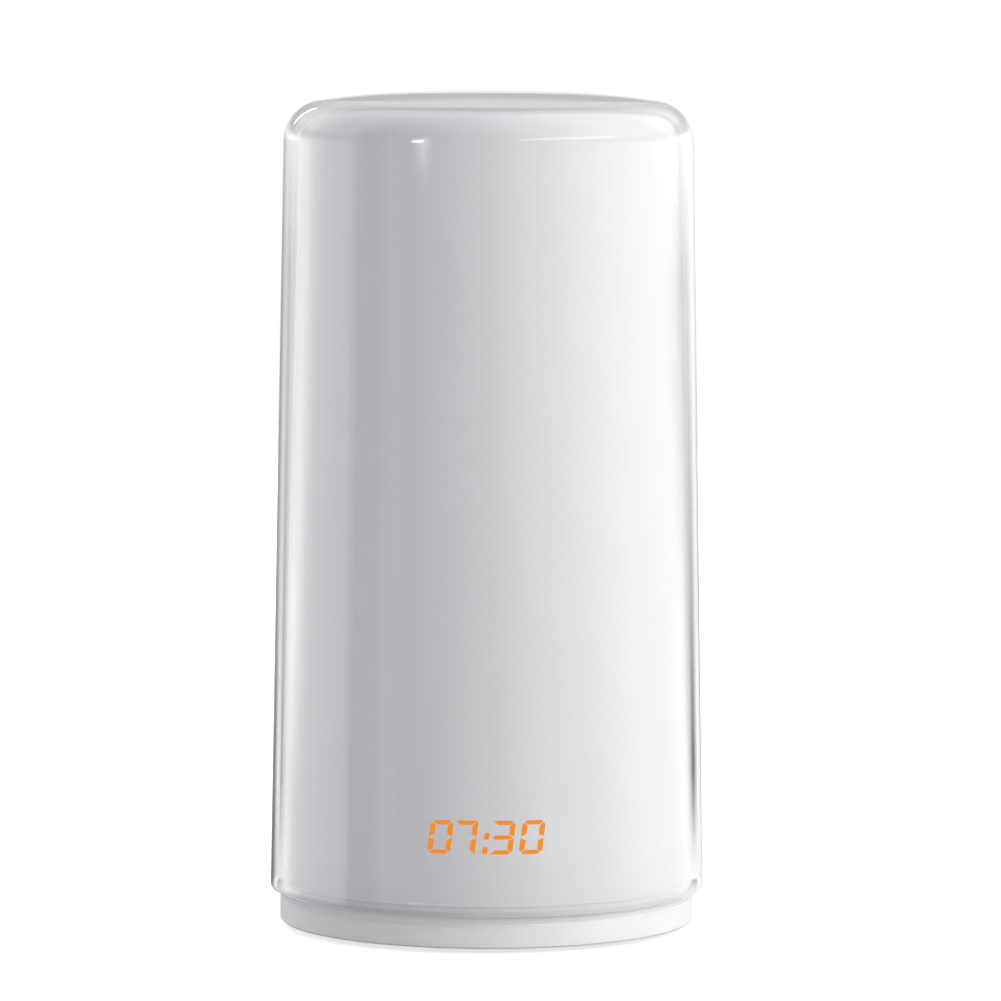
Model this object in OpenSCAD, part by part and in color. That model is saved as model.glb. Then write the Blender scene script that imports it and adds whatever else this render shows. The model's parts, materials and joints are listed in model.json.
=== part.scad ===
// Sunrise alarm clock: a clear shell over an opal diffuser, on a round base
// with the clock, speaker, keys and backup cell inside. Sizes in millimetres.
// The front, with the display, faces -Y. The lamp stands on z = 0.

/* [Outer shell] */
// Diameter at the lower edge of the clear shell
lamp_d = 106; // [104:0.5:114]
// Height from the table to the top of the clear shell
lamp_h = 203.5; // [180:0.5:240]
// Wall thickness of the clear shell
shell_wall = 2.2; // [1.8:0.1:2.6]
// Draft of the clear shell's side, in degrees
shell_draft = 1; // [0.7:0.1:1.2]
// Outer radius of the clear shell's top corner
shell_corner_r = 10; // [8:0.5:12]
// Rise of the domed top above its corner
crown_rise = 2.3; // [1:0.1:2.6]
// Rounding of the shell's lower edge
shell_edge_r = 1; // [0.4:0.1:1.2]
// Radial clearance of what fits inside the shell
shell_fit = 0.15; // [0.1:0.05:0.25]

/* [Opal diffuser] */
// Wall thickness of the opal diffuser
diffuser_wall = 1.6; // [1.2:0.1:1.8]
// Outer radius of the diffuser's top corner
diffuser_corner_r = 7; // [5:0.5:8]
// Gap beside the diffuser at its top corner
side_gap = 1.8; // [1.4:0.1:2.4]
// Gap between the diffuser's top and the shell's dome
top_gap = 2.1; // [1.6:0.1:3.5]
// Height of the foot that fits against the shell
seat_h = 10.5; // [8:0.5:11]
// Height of the snap bead above the diffuser's foot
snap_rise = 1; // [0.8:0.1:2]
// How far the snap bead reaches into the shell's groove
snap_grip = 0.2; // [0.1:0.05:0.25]
// Depth of the shell's snap groove
snap_depth = 0.4; // [0.35:0.05:0.6]
// Diameter of the screw bosses inside the diffuser
diffuser_boss_d = 7; // [6:0.5:7.5]

/* [Base] */
// Height of the base ring that shows below the shell
ring_h = 7.8; // [7.6:0.1:9]
// Wall thickness of the base ring
ring_wall = 2.2; // [1.8:0.1:2.4]
// How far the base reaches up inside the shell
skirt_lap = 1.5; // [1.3:0.1:2.5]
// Thickness of the deck
deck_t = 1.8; // [1.4:0.1:2]
// Drop from the shell's edge to the shallow groove round the ring
groove_drop = 2; // [1.8:0.1:2]
// Width of the shallow groove
groove_w = 1.1; // [0.5:0.1:1.1]
// Depth of the shallow groove
groove_depth = 0.4; // [0.2:0.05:0.5]
// Room between the ring and the turret for the keys and their board
key_room = 10.45; // [10:0.05:11.4]
// Wall thickness of the turret
turret_wall = 1.8; // [1.4:0.1:2]
// Height of the turret above the deck
turret_h = 25.5; // [25:0.5:30]
// Thickness of the bottom cover
cover_t = 2; // [1.8:0.1:2.1]
// Radial clearance round the bottom cover
cover_fit = 0.2; // [0.1:0.05:0.3]
// Diameter of the rubber feet
foot_d = 10; // [8:0.5:11]
// How far the feet stand below the base
foot_proud = 1.2; // [1:0.1:2]
// Depth of the recesses that hold the feet
foot_recess = 0.8; // [0.5:0.1:1]

/* [Keys and power] */
// Width of a key cap
key_w = 9; // [8:0.5:9.5]
// Height of a key cap
key_h = 2.6; // [2.2:0.1:2.6]
// How far a key stands out of the ring
key_proud = 0.9; // [0.7:0.1:1.5]
// Inward travel of a key
key_travel = 0.5; // [0.3:0.05:0.6]
// Clearance round a key cap
key_fit = 0.15; // [0.1:0.05:0.15]
// Height of the key and jack centres above the base
key_rise = 3.6; // [3.6:0.05:3.7]
// Angle from the jack to the inner keys
inner_key_angle = 16; // [15.5:0.5:17]
// Angle from the jack to the outer keys
outer_key_angle = 30; // [29.5:0.5:31]
// Inner diameter of the power jack
jack_bore = 3.7; // [3.5:0.1:3.9]
// Diameter of the power jack's centre pin
jack_pin_d = 1.3; // [1:0.05:1.35]

/* [Display] */
// Height of a digit
digit_h = 8; // [7:0.1:9]
// Width of a digit
digit_w = 5.4; // [5:0.1:5.6]
// Width of a level segment
segment_w = 1; // [0.8:0.05:1.2]
// Width of an upright segment
post_w = 1.25; // [1:0.05:1.4]
// Gap between neighbouring segments
segment_gap = 0.12; // [0.08:0.02:0.2]
// Lean of the digits, in degrees
digit_lean = 7; // [0:0.5:9]
// Height of the display centre above the deck
display_rise = 17.4; // [16:0.1:18]
// Places of the four digit centres across the front
digit_x = [-10.85, -5.1, 3.65, 10.6];
// Place of the colon across the front
colon_x = -0.05; // [-0.5:0.05:0]
// Segments that are lit on each digit
lit_names = ["abcdef", "abc", "abcdg", "abcdef"];

/* [Sound, light and clock] */
// Diameter of the loudspeaker
speaker_d = 36; // [32:0.5:37]
// Diameter of a hole in the sound grille
grille_hole_d = 1.8; // [1.2:0.1:2.2]
// Distance between holes in the sound grille
grille_pitch = 3.4; // [2.8:0.1:3.8]
// Gap between the main board and the turret
board_gap = 3.2; // [2.4:0.1:5]
// Thickness of the circuit boards
board_t = 1.6; // [1:0.1:2]
// Height of the main board above the deck
board_rise = 9.5; // [9:0.5:12]
// Width across flats of the light column
column_w = 20; // [16:1:24]
// Bore of the light column
column_bore = 8; // [5:0.5:10]
// Distance from the column's top to the diffuser's ceiling
column_gap = 11; // [9:0.5:16]
// Light sources up each side of the column
leds_high = 8; // [4:1:10]
// Diameter of the touch plate
touch_d = 40; // [24:1:60]

/* [Backup cell] */
// Diameter of the coin cell
cell_d = 20; // [16:0.5:20]
// Thickness of the coin cell
cell_t = 3.2; // [1.6:0.1:3.2]
// Turn that frees the cell's door, in degrees
door_turn = 30; // [20:1:40]

/* [Hidden] */

$fn = 96;
eps = 0.01;

// levels, from the table up
base_z = foot_proud;
cover_top = base_z + cover_t;
shell_z = base_z + ring_h;
deck_top = shell_z + skirt_lap;
deck_low = deck_top - deck_t;
turret_top = deck_top + turret_h;
roof_t = 2;
roof_low = turret_top - roof_t;
board_z = deck_top + board_rise;
board_top = board_z + board_t;
key_z = base_z + key_rise;
display_z = deck_top + display_rise;

// outer shell
shell_r = lamp_d / 2;
function shell_r_at(z) = shell_r - (z - shell_z) * tan(shell_draft);
function shell_in_at(z) = shell_r_at(z) - shell_wall / cos(shell_draft);
corner_x = shell_r_at(lamp_h - crown_rise - shell_corner_r) - shell_corner_r / cos(shell_draft);
crown_slope = atan(3 * crown_rise / corner_x);
corner_z = lamp_h - crown_rise - shell_corner_r * cos(crown_slope);
snap_z = deck_top + snap_rise;
snap_half = 0.4;
shell_groove_half = snap_half + 0.1;

// opal diffuser
seat_top = deck_top + seat_h;
diffuser_top = lamp_h - shell_wall - top_gap;
ceiling_z = diffuser_top - diffuser_wall;
diffuser_corner_z = diffuser_top - diffuser_corner_r;
diffuser_seat_r = shell_in_at(seat_top) - shell_fit;
diffuser_corner_x = shell_in_at(diffuser_corner_z) - side_gap - diffuser_corner_r;
diffuser_lean = diffuser_seat_r - diffuser_corner_x - diffuser_corner_r;
diffuser_draft = atan(diffuser_lean / (diffuser_corner_z - seat_top));
function diffuser_r_at(z) = diffuser_seat_r - (z - seat_top) * tan(diffuser_draft);
diffuser_boss_h = 10;
diffuser_web_t = 3;
diffuser_boss_gap = 1.2;
diffuser_boss_x = diffuser_seat_r - diffuser_wall - diffuser_boss_d / 2 - diffuser_boss_gap;
diffuser_screw_angles = [20, 160, 200, 340];

// base
ring_r = shell_r - shell_wall - shell_fit;
ring_in = ring_r - ring_wall;
groove_z = shell_z - groove_drop;
turret_r = ring_in - key_room;
turret_in = turret_r - turret_wall;
turret_edge = 1;
gusset_w = 4.5;
gusset_h = 7;
gusset_t = 1.5;
gusset_angles = [0, 38, 90, 142, 180];
cover_r = ring_in - cover_fit;
foot_margin = 3.5;
foot_fit = 0.1;
foot_edge = 0.4;
foot_x = cover_r - foot_d / 2 - foot_margin;
foot_angles = [45, 135, 225, 315];
cover_boss_r = 3.2;
cover_boss_margin = 1;
cover_screw_x = cover_r - cover_boss_r - cover_boss_margin;
board_r = turret_in - board_gap;
post_r = 3;
post_margin = 1.5;
post_x = board_r - post_r - post_margin;
post_angles = [45, 135, 225, 315];
roof_hole_r = column_bore / 2;
lead_hole_x = column_w / 2 + 5.5;
lead_hole_r = 2.2;
lead_angle = 60;
lead_r = 0.45;
lead_lift = 0.15;
lead_pitch = 1.2;

// stiffening ribs on the cover
rib_l = 16;
rib_t = 1.2;
rib_h = 1.6;
rib_x = cover_r - rib_l / 2 - 10.25;
rib_step = 16;
rib_y = 2;

// screws
screw_r = 1.5;
head_r = 2.7;
head_h = 1.6;
cover_sink = 1.2;
cover_head_h = 1.1;
small_r = 1.1;
small_head_r = 2.1;
small_head_h = 1.2;
screw_slack = 0.05;
hole_slack = 0.2;
screw_room = 1;
diffuser_bite = 7;
board_bite = 5.5;
column_bite = 7;
display_bite = 3.2;

// keys, key board and power jack
key_angles = [90 + outer_key_angle, 90 + inner_key_angle, 90 - inner_key_angle, 90 - outer_key_angle];
flange_w = key_w + 1.2;
flange_t = 1;
flange_gap = 0.3;
flange_x = sqrt(pow(ring_in, 2) - pow(flange_w / 2, 2)) - flange_gap;
stem_r = 1.2;
stem_t = 0.9;
plunger_r = 1;
plunger_out = 1;
plunger_in = 0.8;
plunger_fit = 0.06;
plunger_x = flange_x - flange_t - stem_t;
switch_x = plunger_x - plunger_out;
switch_d = 4;
switch_w = 6;
switch_below = 1.4;
key_board_rise = 2.6;
key_board_z = key_z + key_board_rise;
key_board_t = 1;
key_board_top = key_board_z + key_board_t;
key_board_in = turret_in + 0.6;
key_board_out = switch_x + 0.2;
key_board_span = 46;
key_screw_margin = 6;
key_screw_span = key_board_span - key_screw_margin;
key_screw_angles = [90 - key_screw_span, 90 + key_screw_span];
key_screw_x = (key_board_in + key_board_out) / 2;
key_boss_r = 2.6;
key_boss_top = deck_top + 2.6;
key_screw_l = key_boss_top - key_board_z - 1.6;
jack_w = 8;
jack_h = 5.1;
jack_l = 9.6;
jack_fit = 0.1;
jack_front = sqrt(pow(ring_in, 2) - pow(jack_w / 2, 2)) - 0.2;
jack_back = jack_front - jack_l;
jack_nose_r = 2.5;
jack_depth = 8.5;
jack_inset = 0.3;
jack_mouth = ring_r - jack_inset;
jack_pin_short = 1.2;

// backup cell and its bayonet door
cell_r = cell_d / 2;
cell_fit = 0.4;
door_r = cell_r + 1.85;
door_fit = 0.1;
lug_reach = 1.5;
lug_w = 5;
lip_t = 1.6;
lug_t = 0.7;
lug_fit = 0.15;
slot_fit = 0.3;
coin_slot = [14, 1.8, 0.9];
lip_z = base_z + lip_t;
lug_z = lip_z + lug_fit;
lug_room = 0.5;
chamber_r = door_r + lug_reach + lug_room;
door_top = lug_z + lug_t;
cell_z = door_top + lug_fit;
pocket_wall = 1.3;
pocket_r = chamber_r + pocket_wall;
pocket_margin = 2.1;
cell_y = pocket_r + pocket_margin - cover_r;
contact_w = 4;
contact_x = 4;
contact_t = 0.2;
contact_room = 0.5;
tail_r = 0.6;
contact_tail = 1.6;
pocket_ceiling = cell_z + cell_t + contact_room;
pocket_top = pocket_ceiling + 0.6;
door_lug_angle = 60;

// the front cover screws stand just clear of the cell's pocket, and the others at the sides
boss_reach = pocket_r + cover_boss_r + 1.3;
front_screw_angle = acos((pow(cover_screw_x, 2) + pow(cell_y, 2) - pow(boss_reach, 2))
    / (2 * cover_screw_x * -cell_y));
cover_screw_angles = [5, 175, 270 - front_screw_angle, 270 + front_screw_angle];

// loudspeaker, behind the cell's pocket
speaker_r = speaker_d / 2;
speaker_rim = 1.6;
speaker_rim_h = 2;
speaker_fit = 0.15;
speaker_y = cell_y + pocket_r + speaker_rim + speaker_r + 2.25;
gasket_t = 0.6;
gasket_w = 2.6;
speaker_z = cover_top + gasket_t;
speaker_flange_t = 1;
basket_h = 6.7;
magnet_r = speaker_r * 0.61;
magnet_h = 5.5;
speaker_back = speaker_z + basket_h;
grille_rings = 3;

// what stands on the main board, with places as shares of its radius
controller = [12, 12, 1.4];
memory = [6, 5, 1.2];
radio = [10, 14, 2];
amplifier = [5, 6, 1.3];
chip_places = [[-0.06, 0], [0.394, -0.167], [-0.576, 0.091], [0.364, 0.121]];
capacitor_d = 6.3;
capacitor_h = 7;
capacitor_edge = 0.45;
capacitor_places = [[-0.333, 0.576], [-0.09, 0.667], [0.606, 0.242]];
crystal_d = 3;
crystal_h = 8;
crystal_place = [-0.121, -0.394];

// sockets for leads and ribbons
socket_w = 7;
socket_d = 4;
socket_h = 3.6;
top_socket_h = 4;
touch_x = board_r * 0.212;
touch_y = board_r * -0.03;
ribbon_w = 8;
ribbon_t = 0.25;
ribbon_socket_w = ribbon_w + 2;
ribbon_socket_d = 3;
ribbon_socket_h = 1.6;
display_ribbon_w = 9;
display_socket_w = display_ribbon_w + 3;
cell_socket_y = cell_y + 9;
power_socket_y = board_r - socket_d;
power_lead_x = 1.6;

// light column
column_top = ceiling_z - column_gap;
column_r = column_w / 2 / cos(30);
flex_t = 0.4;
flex_low = turret_top + 2;
flex_high = column_top - 2;
led_face = column_w / 2 + flex_t;
column_screw_x = column_bore / 2 + 3;
column_screw_angles = [30, 150, 270];
cap_t = 2;
cap_over = 1;
spigot_r = 3.6;
spigot_h = 2.2;
cap_bore_r = 0.8;
spring_r = 4.2;
spring_wire_r = 0.3;
spring_turns = 5;
warm_led_w = 2.8;
warm_led_t = 0.8;
colour_led_w = 3.5;
colour_led_t = 1.4;
led_l = 3.5;
touch_t = 0.5;
touch_z = ceiling_z - touch_t;
led_step = (flex_high - flex_low) / leds_high;

// display
reflector_margin = 1.6;
reflector_half = max(-digit_x[0], digit_x[3]) + digit_w / 2 + reflector_margin;
reflector_tall = digit_h + 2 * reflector_margin;
display_board_t = 1.2;
display_board_side = 4.4;
display_board_edge = 2;
display_board_half = reflector_half + display_board_side;
display_board_tall = reflector_tall + 2 * display_board_edge;
reflector_back = turret_r + 2;
display_board_back = reflector_back - display_board_t;
display_screw_x = display_board_half - 2.2;
display_post_w = 4;
display_post_h = 10;
display_post_in = sqrt(pow(turret_in, 2) - pow(display_screw_x + display_post_w / 2, 2)) - 0.9;
reflector_fit = 0.3;
display_led_w = 0.5;
display_led_t = 0.6;
middle_gap = 0.2;
middle_tip = 0.3;
colon_w = 1.2;
colon_h = 1.6;
colon_cut = 0.2;
colon_places = [0.04, -0.385];

// cuts of each digit's outer corners, at its left and at its right
corner_cuts = [[1, 1], [0.25, 0.25], [0.25, 1], [1, 1]];

// ---- shared shapes ----

function arc(cx, cz, r, a0, a1, n) =
    [for (i = [0:n]) let (a = a0 + (a1 - a0) * i / n) [cx + r * cos(a), cz + r * sin(a)]];

function backward(p) = [for (i = [len(p) - 1:-1:0]) p[i]];

// a domed top from its corner in to the axis: flat at the middle, falling off with the cube of the radius
function crown(edge_x, top_z, n) =
    [for (i = [1:n]) let (u = max(0, (n - i - 1) / (n - 1)))
        [edge_x * (1 - i / n), top_z - crown_rise * pow(u, 3)]];

module polar(x, a, z = 0) {
    rotate([0, 0, a]) translate([x, 0, z]) children();
}

// a block that runs out along +X from x0 to x1, centred across
module bar(x0, x1, w, z0, z1) {
    translate([x0, -w / 2, z0]) cube([x1 - x0, w, z1 - z0]);
}

// a flat pill outline that faces along +X
module pill(w, h, x0, x1) {
    translate([x0, 0, 0]) rotate([90, 0, 90]) linear_extrude(x1 - x0) {
        square([w - h, h], center = true);
        for (s = [-1, 1]) translate([s * (w - h) / 2, 0]) circle(d = h, $fn = 40);
    }
}

// a screw that points up, with its head below z = 0 and a cross recess
module screw(r, length, head_r, head_t) {
    difference() {
        union() {
            cylinder(r = r, h = length, $fn = 24);
            translate([0, 0, -head_t]) cylinder(r = head_r, h = head_t, $fn = 32);
        }
        for (a = [0, 90]) rotate([0, 0, a])
            translate([-head_r * 0.55, -head_r * 0.12, -head_t - eps])
                cube([head_r * 1.1, head_r * 0.24, head_t * 0.55]);
    }
}

// a smooth curve through the points of a route
function along(a, b, c, d, t) =
    0.5 * (2 * b + (c - a) * t + (2 * a - 5 * b + 4 * c - d) * t * t + (3 * b - a - 3 * c + d) * t * t * t);
function route(p, n) = let (last = len(p) - 1) concat(
    [for (i = [0:last - 1], k = [0:n - 1])
        along(p[max(i - 1, 0)], p[i], p[i + 1], p[min(i + 2, last)], k / n)], [p[last]]);
function unit(v) = v / norm(v);

// a round wire along a list of points; side is any direction the wire never runs along
module wire(p, r, side, sides = 8) {
    last = len(p) - 1;
    rings = [for (i = [0:last]) let (t = unit(p[min(i + 1, last)] - p[max(i - 1, 0)]),
        u = unit(cross(t, side)), v = cross(t, u))
        for (k = [0:sides - 1]) p[i] + r * (cos(360 * k / sides) * u + sin(360 * k / sides) * v)];
    polyhedron(rings, concat(
        [[for (k = [0:sides - 1]) k]],
        [for (i = [0:last - 1], k = [0:sides - 1]) let (a = i * sides, j = (k + 1) % sides)
            [a + sides + k, a + sides + j, a + j, a + k]],
        [[for (k = [sides - 1:-1:0]) last * sides + k]]));
}

// ---- shell and diffuser ----

module outer_shell() {
    edge_x = corner_x + shell_corner_r * sin(crown_slope);
    in_r = shell_corner_r - shell_wall;
    in_edge_x = corner_x + in_r * sin(crown_slope);
    color([0.88, 0.9, 0.93, 0.35]) rotate_extrude($fn = 180) polygon(concat(
        arc(shell_r - shell_edge_r, shell_z + shell_edge_r, shell_edge_r, -90, 0, 5),
        arc(corner_x, corner_z, shell_corner_r, shell_draft, 90 - crown_slope, 12),
        crown(edge_x, lamp_h, 8),
        backward(crown(in_edge_x, lamp_h - shell_wall, 8)),
        arc(corner_x, corner_z, in_r, 90 - crown_slope, shell_draft, 12),
        [for (s = [[1, 0], [1, 1], [-1, 1], [-1, 0]]) let (z = snap_z + s[0] * shell_groove_half)
            [shell_in_at(z) + s[1] * snap_depth, z]],
        [[shell_in_at(shell_z), shell_z]]));
}

module diffuser_body() {
    in_r = diffuser_corner_r - diffuser_wall;
    foot_r = shell_in_at(deck_top) - shell_fit;
    rotate_extrude($fn = 180) polygon(concat(
        [[foot_r - diffuser_wall, deck_top], [foot_r, deck_top]],
        [for (s = [[-1, 0], [-0.4, 1], [0.4, 1], [1, 0]]) let (z = snap_z + s[0] * snap_half)
            [shell_in_at(z) - shell_fit + s[1] * (shell_fit + snap_grip), z]],
        [[diffuser_seat_r, seat_top]],
        arc(diffuser_corner_x, diffuser_corner_z, diffuser_corner_r, diffuser_draft, 90, 12),
        [[0, diffuser_top], [0, ceiling_z]],
        arc(diffuser_corner_x, diffuser_corner_z, in_r, 90, diffuser_draft, 10),
        [[diffuser_seat_r - diffuser_wall, seat_top]]));
}

module inner_diffuser() {
    color("ghostwhite") difference() {
        union() {
            diffuser_body();
            for (a = diffuser_screw_angles) rotate([0, 0, a]) {
                translate([diffuser_boss_x, 0, deck_top])
                    cylinder(d = diffuser_boss_d, h = diffuser_boss_h, $fn = 40);
                bar(diffuser_boss_x, diffuser_seat_r - diffuser_wall / 2, diffuser_web_t, deck_top,
                    deck_top + diffuser_boss_h);
            }
        }
        for (a = diffuser_screw_angles) polar(diffuser_boss_x, a, deck_top - eps)
            cylinder(r = screw_r + screw_slack, h = diffuser_bite + screw_room, $fn = 32);
        segments("all");
    }
}

// ---- seven-segment light pipes in the diffuser's front ----

function lean(p) = [for (q = p) [q[0] + q[1] * tan(digit_lean), q[1]]];

// how far along the mitre between a level and an upright segment a corner's cut reaches
function mitre(cut) = (cut - segment_gap) / (post_w + segment_w);

// the level segment at the top (s = 1) or the bottom of a digit, mitred to the posts, with its corners cut
function bar_shape(s, cuts) = let (w = digit_w / 2, h = digit_h / 2, g = segment_gap)
    [for (k = [-1, 1], i = [0:2]) let (cut = cuts[(k + 1) / 2], j = k < 0 ? i : 2 - i, u = mitre(cut),
        p = [[w - post_w - g, h - segment_w], [w - g - u * post_w, h - u * segment_w], [w - cut, h]][j])
        [k * p[0], s * p[1]]];

// an upright segment at the side k, between the middle and the top (s = 1) or the bottom
function post_shape(k, s, cut) = let (w = digit_w / 2, h = digit_h / 2, g = segment_gap, u = mitre(cut))
    [for (p = [[w, h - cut], [w - u * post_w, h - u * segment_w - g], [w - post_w, h - segment_w - g],
        [w - post_w, segment_w / 2 + middle_gap], [w, middle_gap]]) [k * p[0], s * p[1]]];

// the middle segment, pointed at both ends
middle_shape = let (w = digit_w / 2 - middle_tip, t = segment_w / 2)
    [[-w, 0], [-w + 1.6 * t, t], [w - 1.6 * t, t], [w, 0], [w - 1.6 * t, -t], [-w + 1.6 * t, -t]];

function segment_shape(name, cuts) =
    name == "a" ? bar_shape(1, cuts) : name == "d" ? bar_shape(-1, cuts) :
    name == "b" ? post_shape(1, 1, cuts[1]) : name == "c" ? post_shape(1, -1, cuts[1]) :
    name == "f" ? post_shape(-1, 1, cuts[0]) : name == "e" ? post_shape(-1, -1, cuts[0]) : middle_shape;

// one dot of the colon, with its corners cut
colon_shape = let (w = colon_w / 2, h = colon_h / 2, c = colon_cut)
    [[-w + c, -h], [w - c, -h], [w, -h + c], [w, h - c], [w - c, h], [-w + c, h], [-w, h - c], [-w, -h + c]];

function is_lit(digit, name) = len(search(name, lit_names[digit])) > 0;

// an outline on the display, run back through the diffuser's wall or further
module display_prism(x, z, shape, y0, y1) {
    translate([x + z * tan(digit_lean), -y0, display_z + z])
        rotate([90, 0, 0]) linear_extrude(y1 - y0) polygon(lean(shape));
}

// all, lit or unlit segments, as prisms from depth y0 out to y1
module segments(which, y0 = diffuser_seat_r * 0.8, y1 = diffuser_seat_r + 2) {
    for (d = [0:3], name = ["a", "b", "c", "d", "e", "f", "g"])
        if (which == "all" || is_lit(d, name) == (which == "lit"))
            display_prism(digit_x[d], 0, segment_shape(name, corner_cuts[d]), y0, y1);
    if (which != "unlit")
        for (z = colon_places) display_prism(colon_x, z * digit_h, colon_shape, y0, y1);
}

module lit_segments() {
    color("darkorange") intersection() {
        diffuser_body();
        segments("lit");
    }
}

module unlit_segments() {
    color("whitesmoke") intersection() {
        diffuser_body();
        segments("unlit");
    }
}

module display_reflector() {
    color("white") difference() {
        intersection() {
            translate([-reflector_half, -diffuser_seat_r, display_z - reflector_tall / 2])
                cube([2 * reflector_half, diffuser_seat_r - reflector_back, reflector_tall]);
            translate([0, 0, display_z - reflector_tall]) cylinder(
                r1 = diffuser_r_at(display_z - reflector_tall) - diffuser_wall - reflector_fit,
                r2 = diffuser_r_at(display_z + reflector_tall) - diffuser_wall - reflector_fit,
                h = 2 * reflector_tall, $fn = 180);
        }
        segments("all", reflector_back - 1);
    }
}

module display_board() {
    color("darkgreen") difference() {
        translate([-display_board_half, -reflector_back, display_z - display_board_tall / 2])
            cube([2 * display_board_half, display_board_t, display_board_tall]);
        for (s = [-1, 1]) translate([s * display_screw_x, -reflector_back - eps, display_z])
            rotate([-90, 0, 0]) cylinder(r = small_r + hole_slack, h = display_board_t + 2 * eps, $fn = 24);
    }
}

// one small light source at the middle of each segment, and one for each colon dot
module display_leds() {
    w = digit_w / 2 - post_w / 2;
    h = digit_h / 2 - segment_w / 2;
    places = [[0, h], [0, -h], [0, 0], [w, h / 2], [w, -h / 2], [-w, h / 2], [-w, -h / 2]];
    color("orange") {
        for (x = digit_x, p = places) display_led(x + p[0] + p[1] * tan(digit_lean), p[1]);
        for (z = colon_places) display_led(colon_x + z * digit_h * tan(digit_lean), z * digit_h);
    }
}

module display_led(x, z) {
    translate([x - display_led_w / 2, -reflector_back - display_led_t, display_z + z - display_led_w / 2])
        cube([display_led_w, display_led_t, display_led_w]);
}

module display_screws() {
    color("silver") for (s = [-1, 1])
        translate([s * display_screw_x, -reflector_back, display_z]) rotate([-90, 0, 0])
            screw(small_r, display_board_t + display_bite, small_head_r, small_head_h);
}

module display_ribbon() {
    color("linen") bar_y(-turret_r - 0.8, display_ribbon_w, -post_x - ribbon_socket_d / 2,
        board_top + 0.6, board_top + 0.6 + ribbon_t);
}

// a block across the lamp's front-to-back line, from y0 to y1
module bar_y(y0, w, y1, z0, z1) {
    translate([-w / 2, y0, z0]) cube([w, y1 - y0, z1 - z0]);
}

// ---- base ----

module base_housing() {
    color("white") difference() {
        union() {
            rotate_extrude($fn = 180) polygon(concat(
                [[ring_in, base_z], [ring_r - 0.4, base_z], [ring_r, base_z + 0.4]],
                [for (i = [-4:4]) [ring_r - groove_depth * (1 + cos(45 * i)) / 2, groove_z + i * groove_w / 8]],
                [[ring_r, deck_top], [turret_r, deck_top], [turret_r, turret_top - turret_edge],
                [turret_r - turret_edge, turret_top], [roof_hole_r, turret_top], [roof_hole_r, roof_low],
                [turret_in, roof_low], [turret_in, deck_low], [ring_in, deck_low]]));
            for (a = cover_screw_angles) polar(cover_screw_x, a, cover_top)
                cylinder(r = cover_boss_r, h = deck_low - cover_top + eps, $fn = 40);
            for (a = post_angles) polar(post_x, a, board_top)
                cylinder(r = post_r, h = roof_low - board_top + eps, $fn = 40);
            for (a = key_screw_angles) polar(key_screw_x, a, key_board_top)
                cylinder(r = key_boss_r, h = key_boss_top - key_board_top, $fn = 40);
            for (s = [-1, 1]) translate([s * display_screw_x, 0, 0])
                bar_y(-display_board_back, display_post_w, -display_post_in, display_z - display_post_h / 2,
                    display_z + display_post_h / 2);
            for (a = gusset_angles) rotate([90, 0, a]) translate([0, 0, -gusset_t / 2])
                linear_extrude(gusset_t) polygon([[turret_r - 1, deck_top - eps],
                    [turret_r + gusset_w, deck_top - eps], [turret_r - 1, deck_top + gusset_h]]);
        }
        for (a = key_angles) rotate([0, 0, a]) translate([0, 0, key_z])
            pill(key_w + 2 * key_fit, key_h + 2 * key_fit, ring_in - 2, ring_r + 1);
        translate([0, ring_in - 2, key_z]) rotate([-90, 0, 0])
            cylinder(r = jack_nose_r + jack_fit, h = ring_wall + 4, $fn = 48);
        for (a = cover_screw_angles) polar(cover_screw_x, a, cover_top - eps)
            cylinder(r = screw_r + screw_slack, h = deck_low - cover_top, $fn = 32);
        for (a = diffuser_screw_angles) polar(diffuser_boss_x, a, deck_low - eps)
            cylinder(r = screw_r + hole_slack, h = deck_t + 2 * eps, $fn = 32);
        for (a = post_angles) polar(post_x, a, board_top - eps)
            cylinder(r = small_r + screw_slack, h = board_bite + screw_room, $fn = 24);
        for (a = key_screw_angles) polar(key_screw_x, a, key_board_top - eps)
            cylinder(r = small_r + screw_slack, h = key_screw_l - key_board_t + 0.6, $fn = 24);
        for (a = column_screw_angles) polar(column_screw_x, a, roof_low - eps)
            cylinder(r = small_r + hole_slack, h = roof_t + 2 * eps, $fn = 24);
        polar(lead_hole_x, lead_angle, roof_low - eps)
            cylinder(r = lead_hole_r, h = roof_t + 2 * eps, $fn = 32);
        for (s = [-1, 1]) translate([s * display_screw_x, -display_board_back - eps, display_z])
            rotate([-90, 0, 0]) cylinder(r = small_r + screw_slack, h = display_bite + 0.8, $fn = 24);
        bar_y(-turret_r - 1, display_ribbon_w + 1, -turret_in + 2, board_top + 0.1, board_top + 1.4);
    }
}

module battery_pocket_cut() {
    translate([0, cell_y, 0]) {
        rotate_extrude() polygon([
            [0, base_z - 1], [door_r + door_fit, base_z - 1], [door_r + door_fit, lip_z],
            [chamber_r, lip_z], [chamber_r, cell_z], [cell_r + cell_fit, cell_z],
            [cell_r + cell_fit, pocket_ceiling], [0, pocket_ceiling]]);
        for (s = [0, 180]) rotate([0, 0, door_lug_angle - door_turn + s])
            bar(door_r - 1, chamber_r - slot_fit, lug_w + 2 * slot_fit, base_z - 1, lip_z + eps);
        for (s = [-1, 1]) translate([s * contact_x, 0, pocket_ceiling - eps])
            cylinder(r = tail_r + slot_fit, h = 1, $fn = 24);
    }
}

module grille_holes() {
    for (i = [-grille_rings:grille_rings], j = [-grille_rings:grille_rings])
        if (abs(i + j) <= grille_rings)
            translate([grille_pitch * (i + j / 2), speaker_y + grille_pitch * j * sin(60), base_z - eps])
                cylinder(d = grille_hole_d, h = cover_t + 2 * eps, $fn = 16);
}

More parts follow.
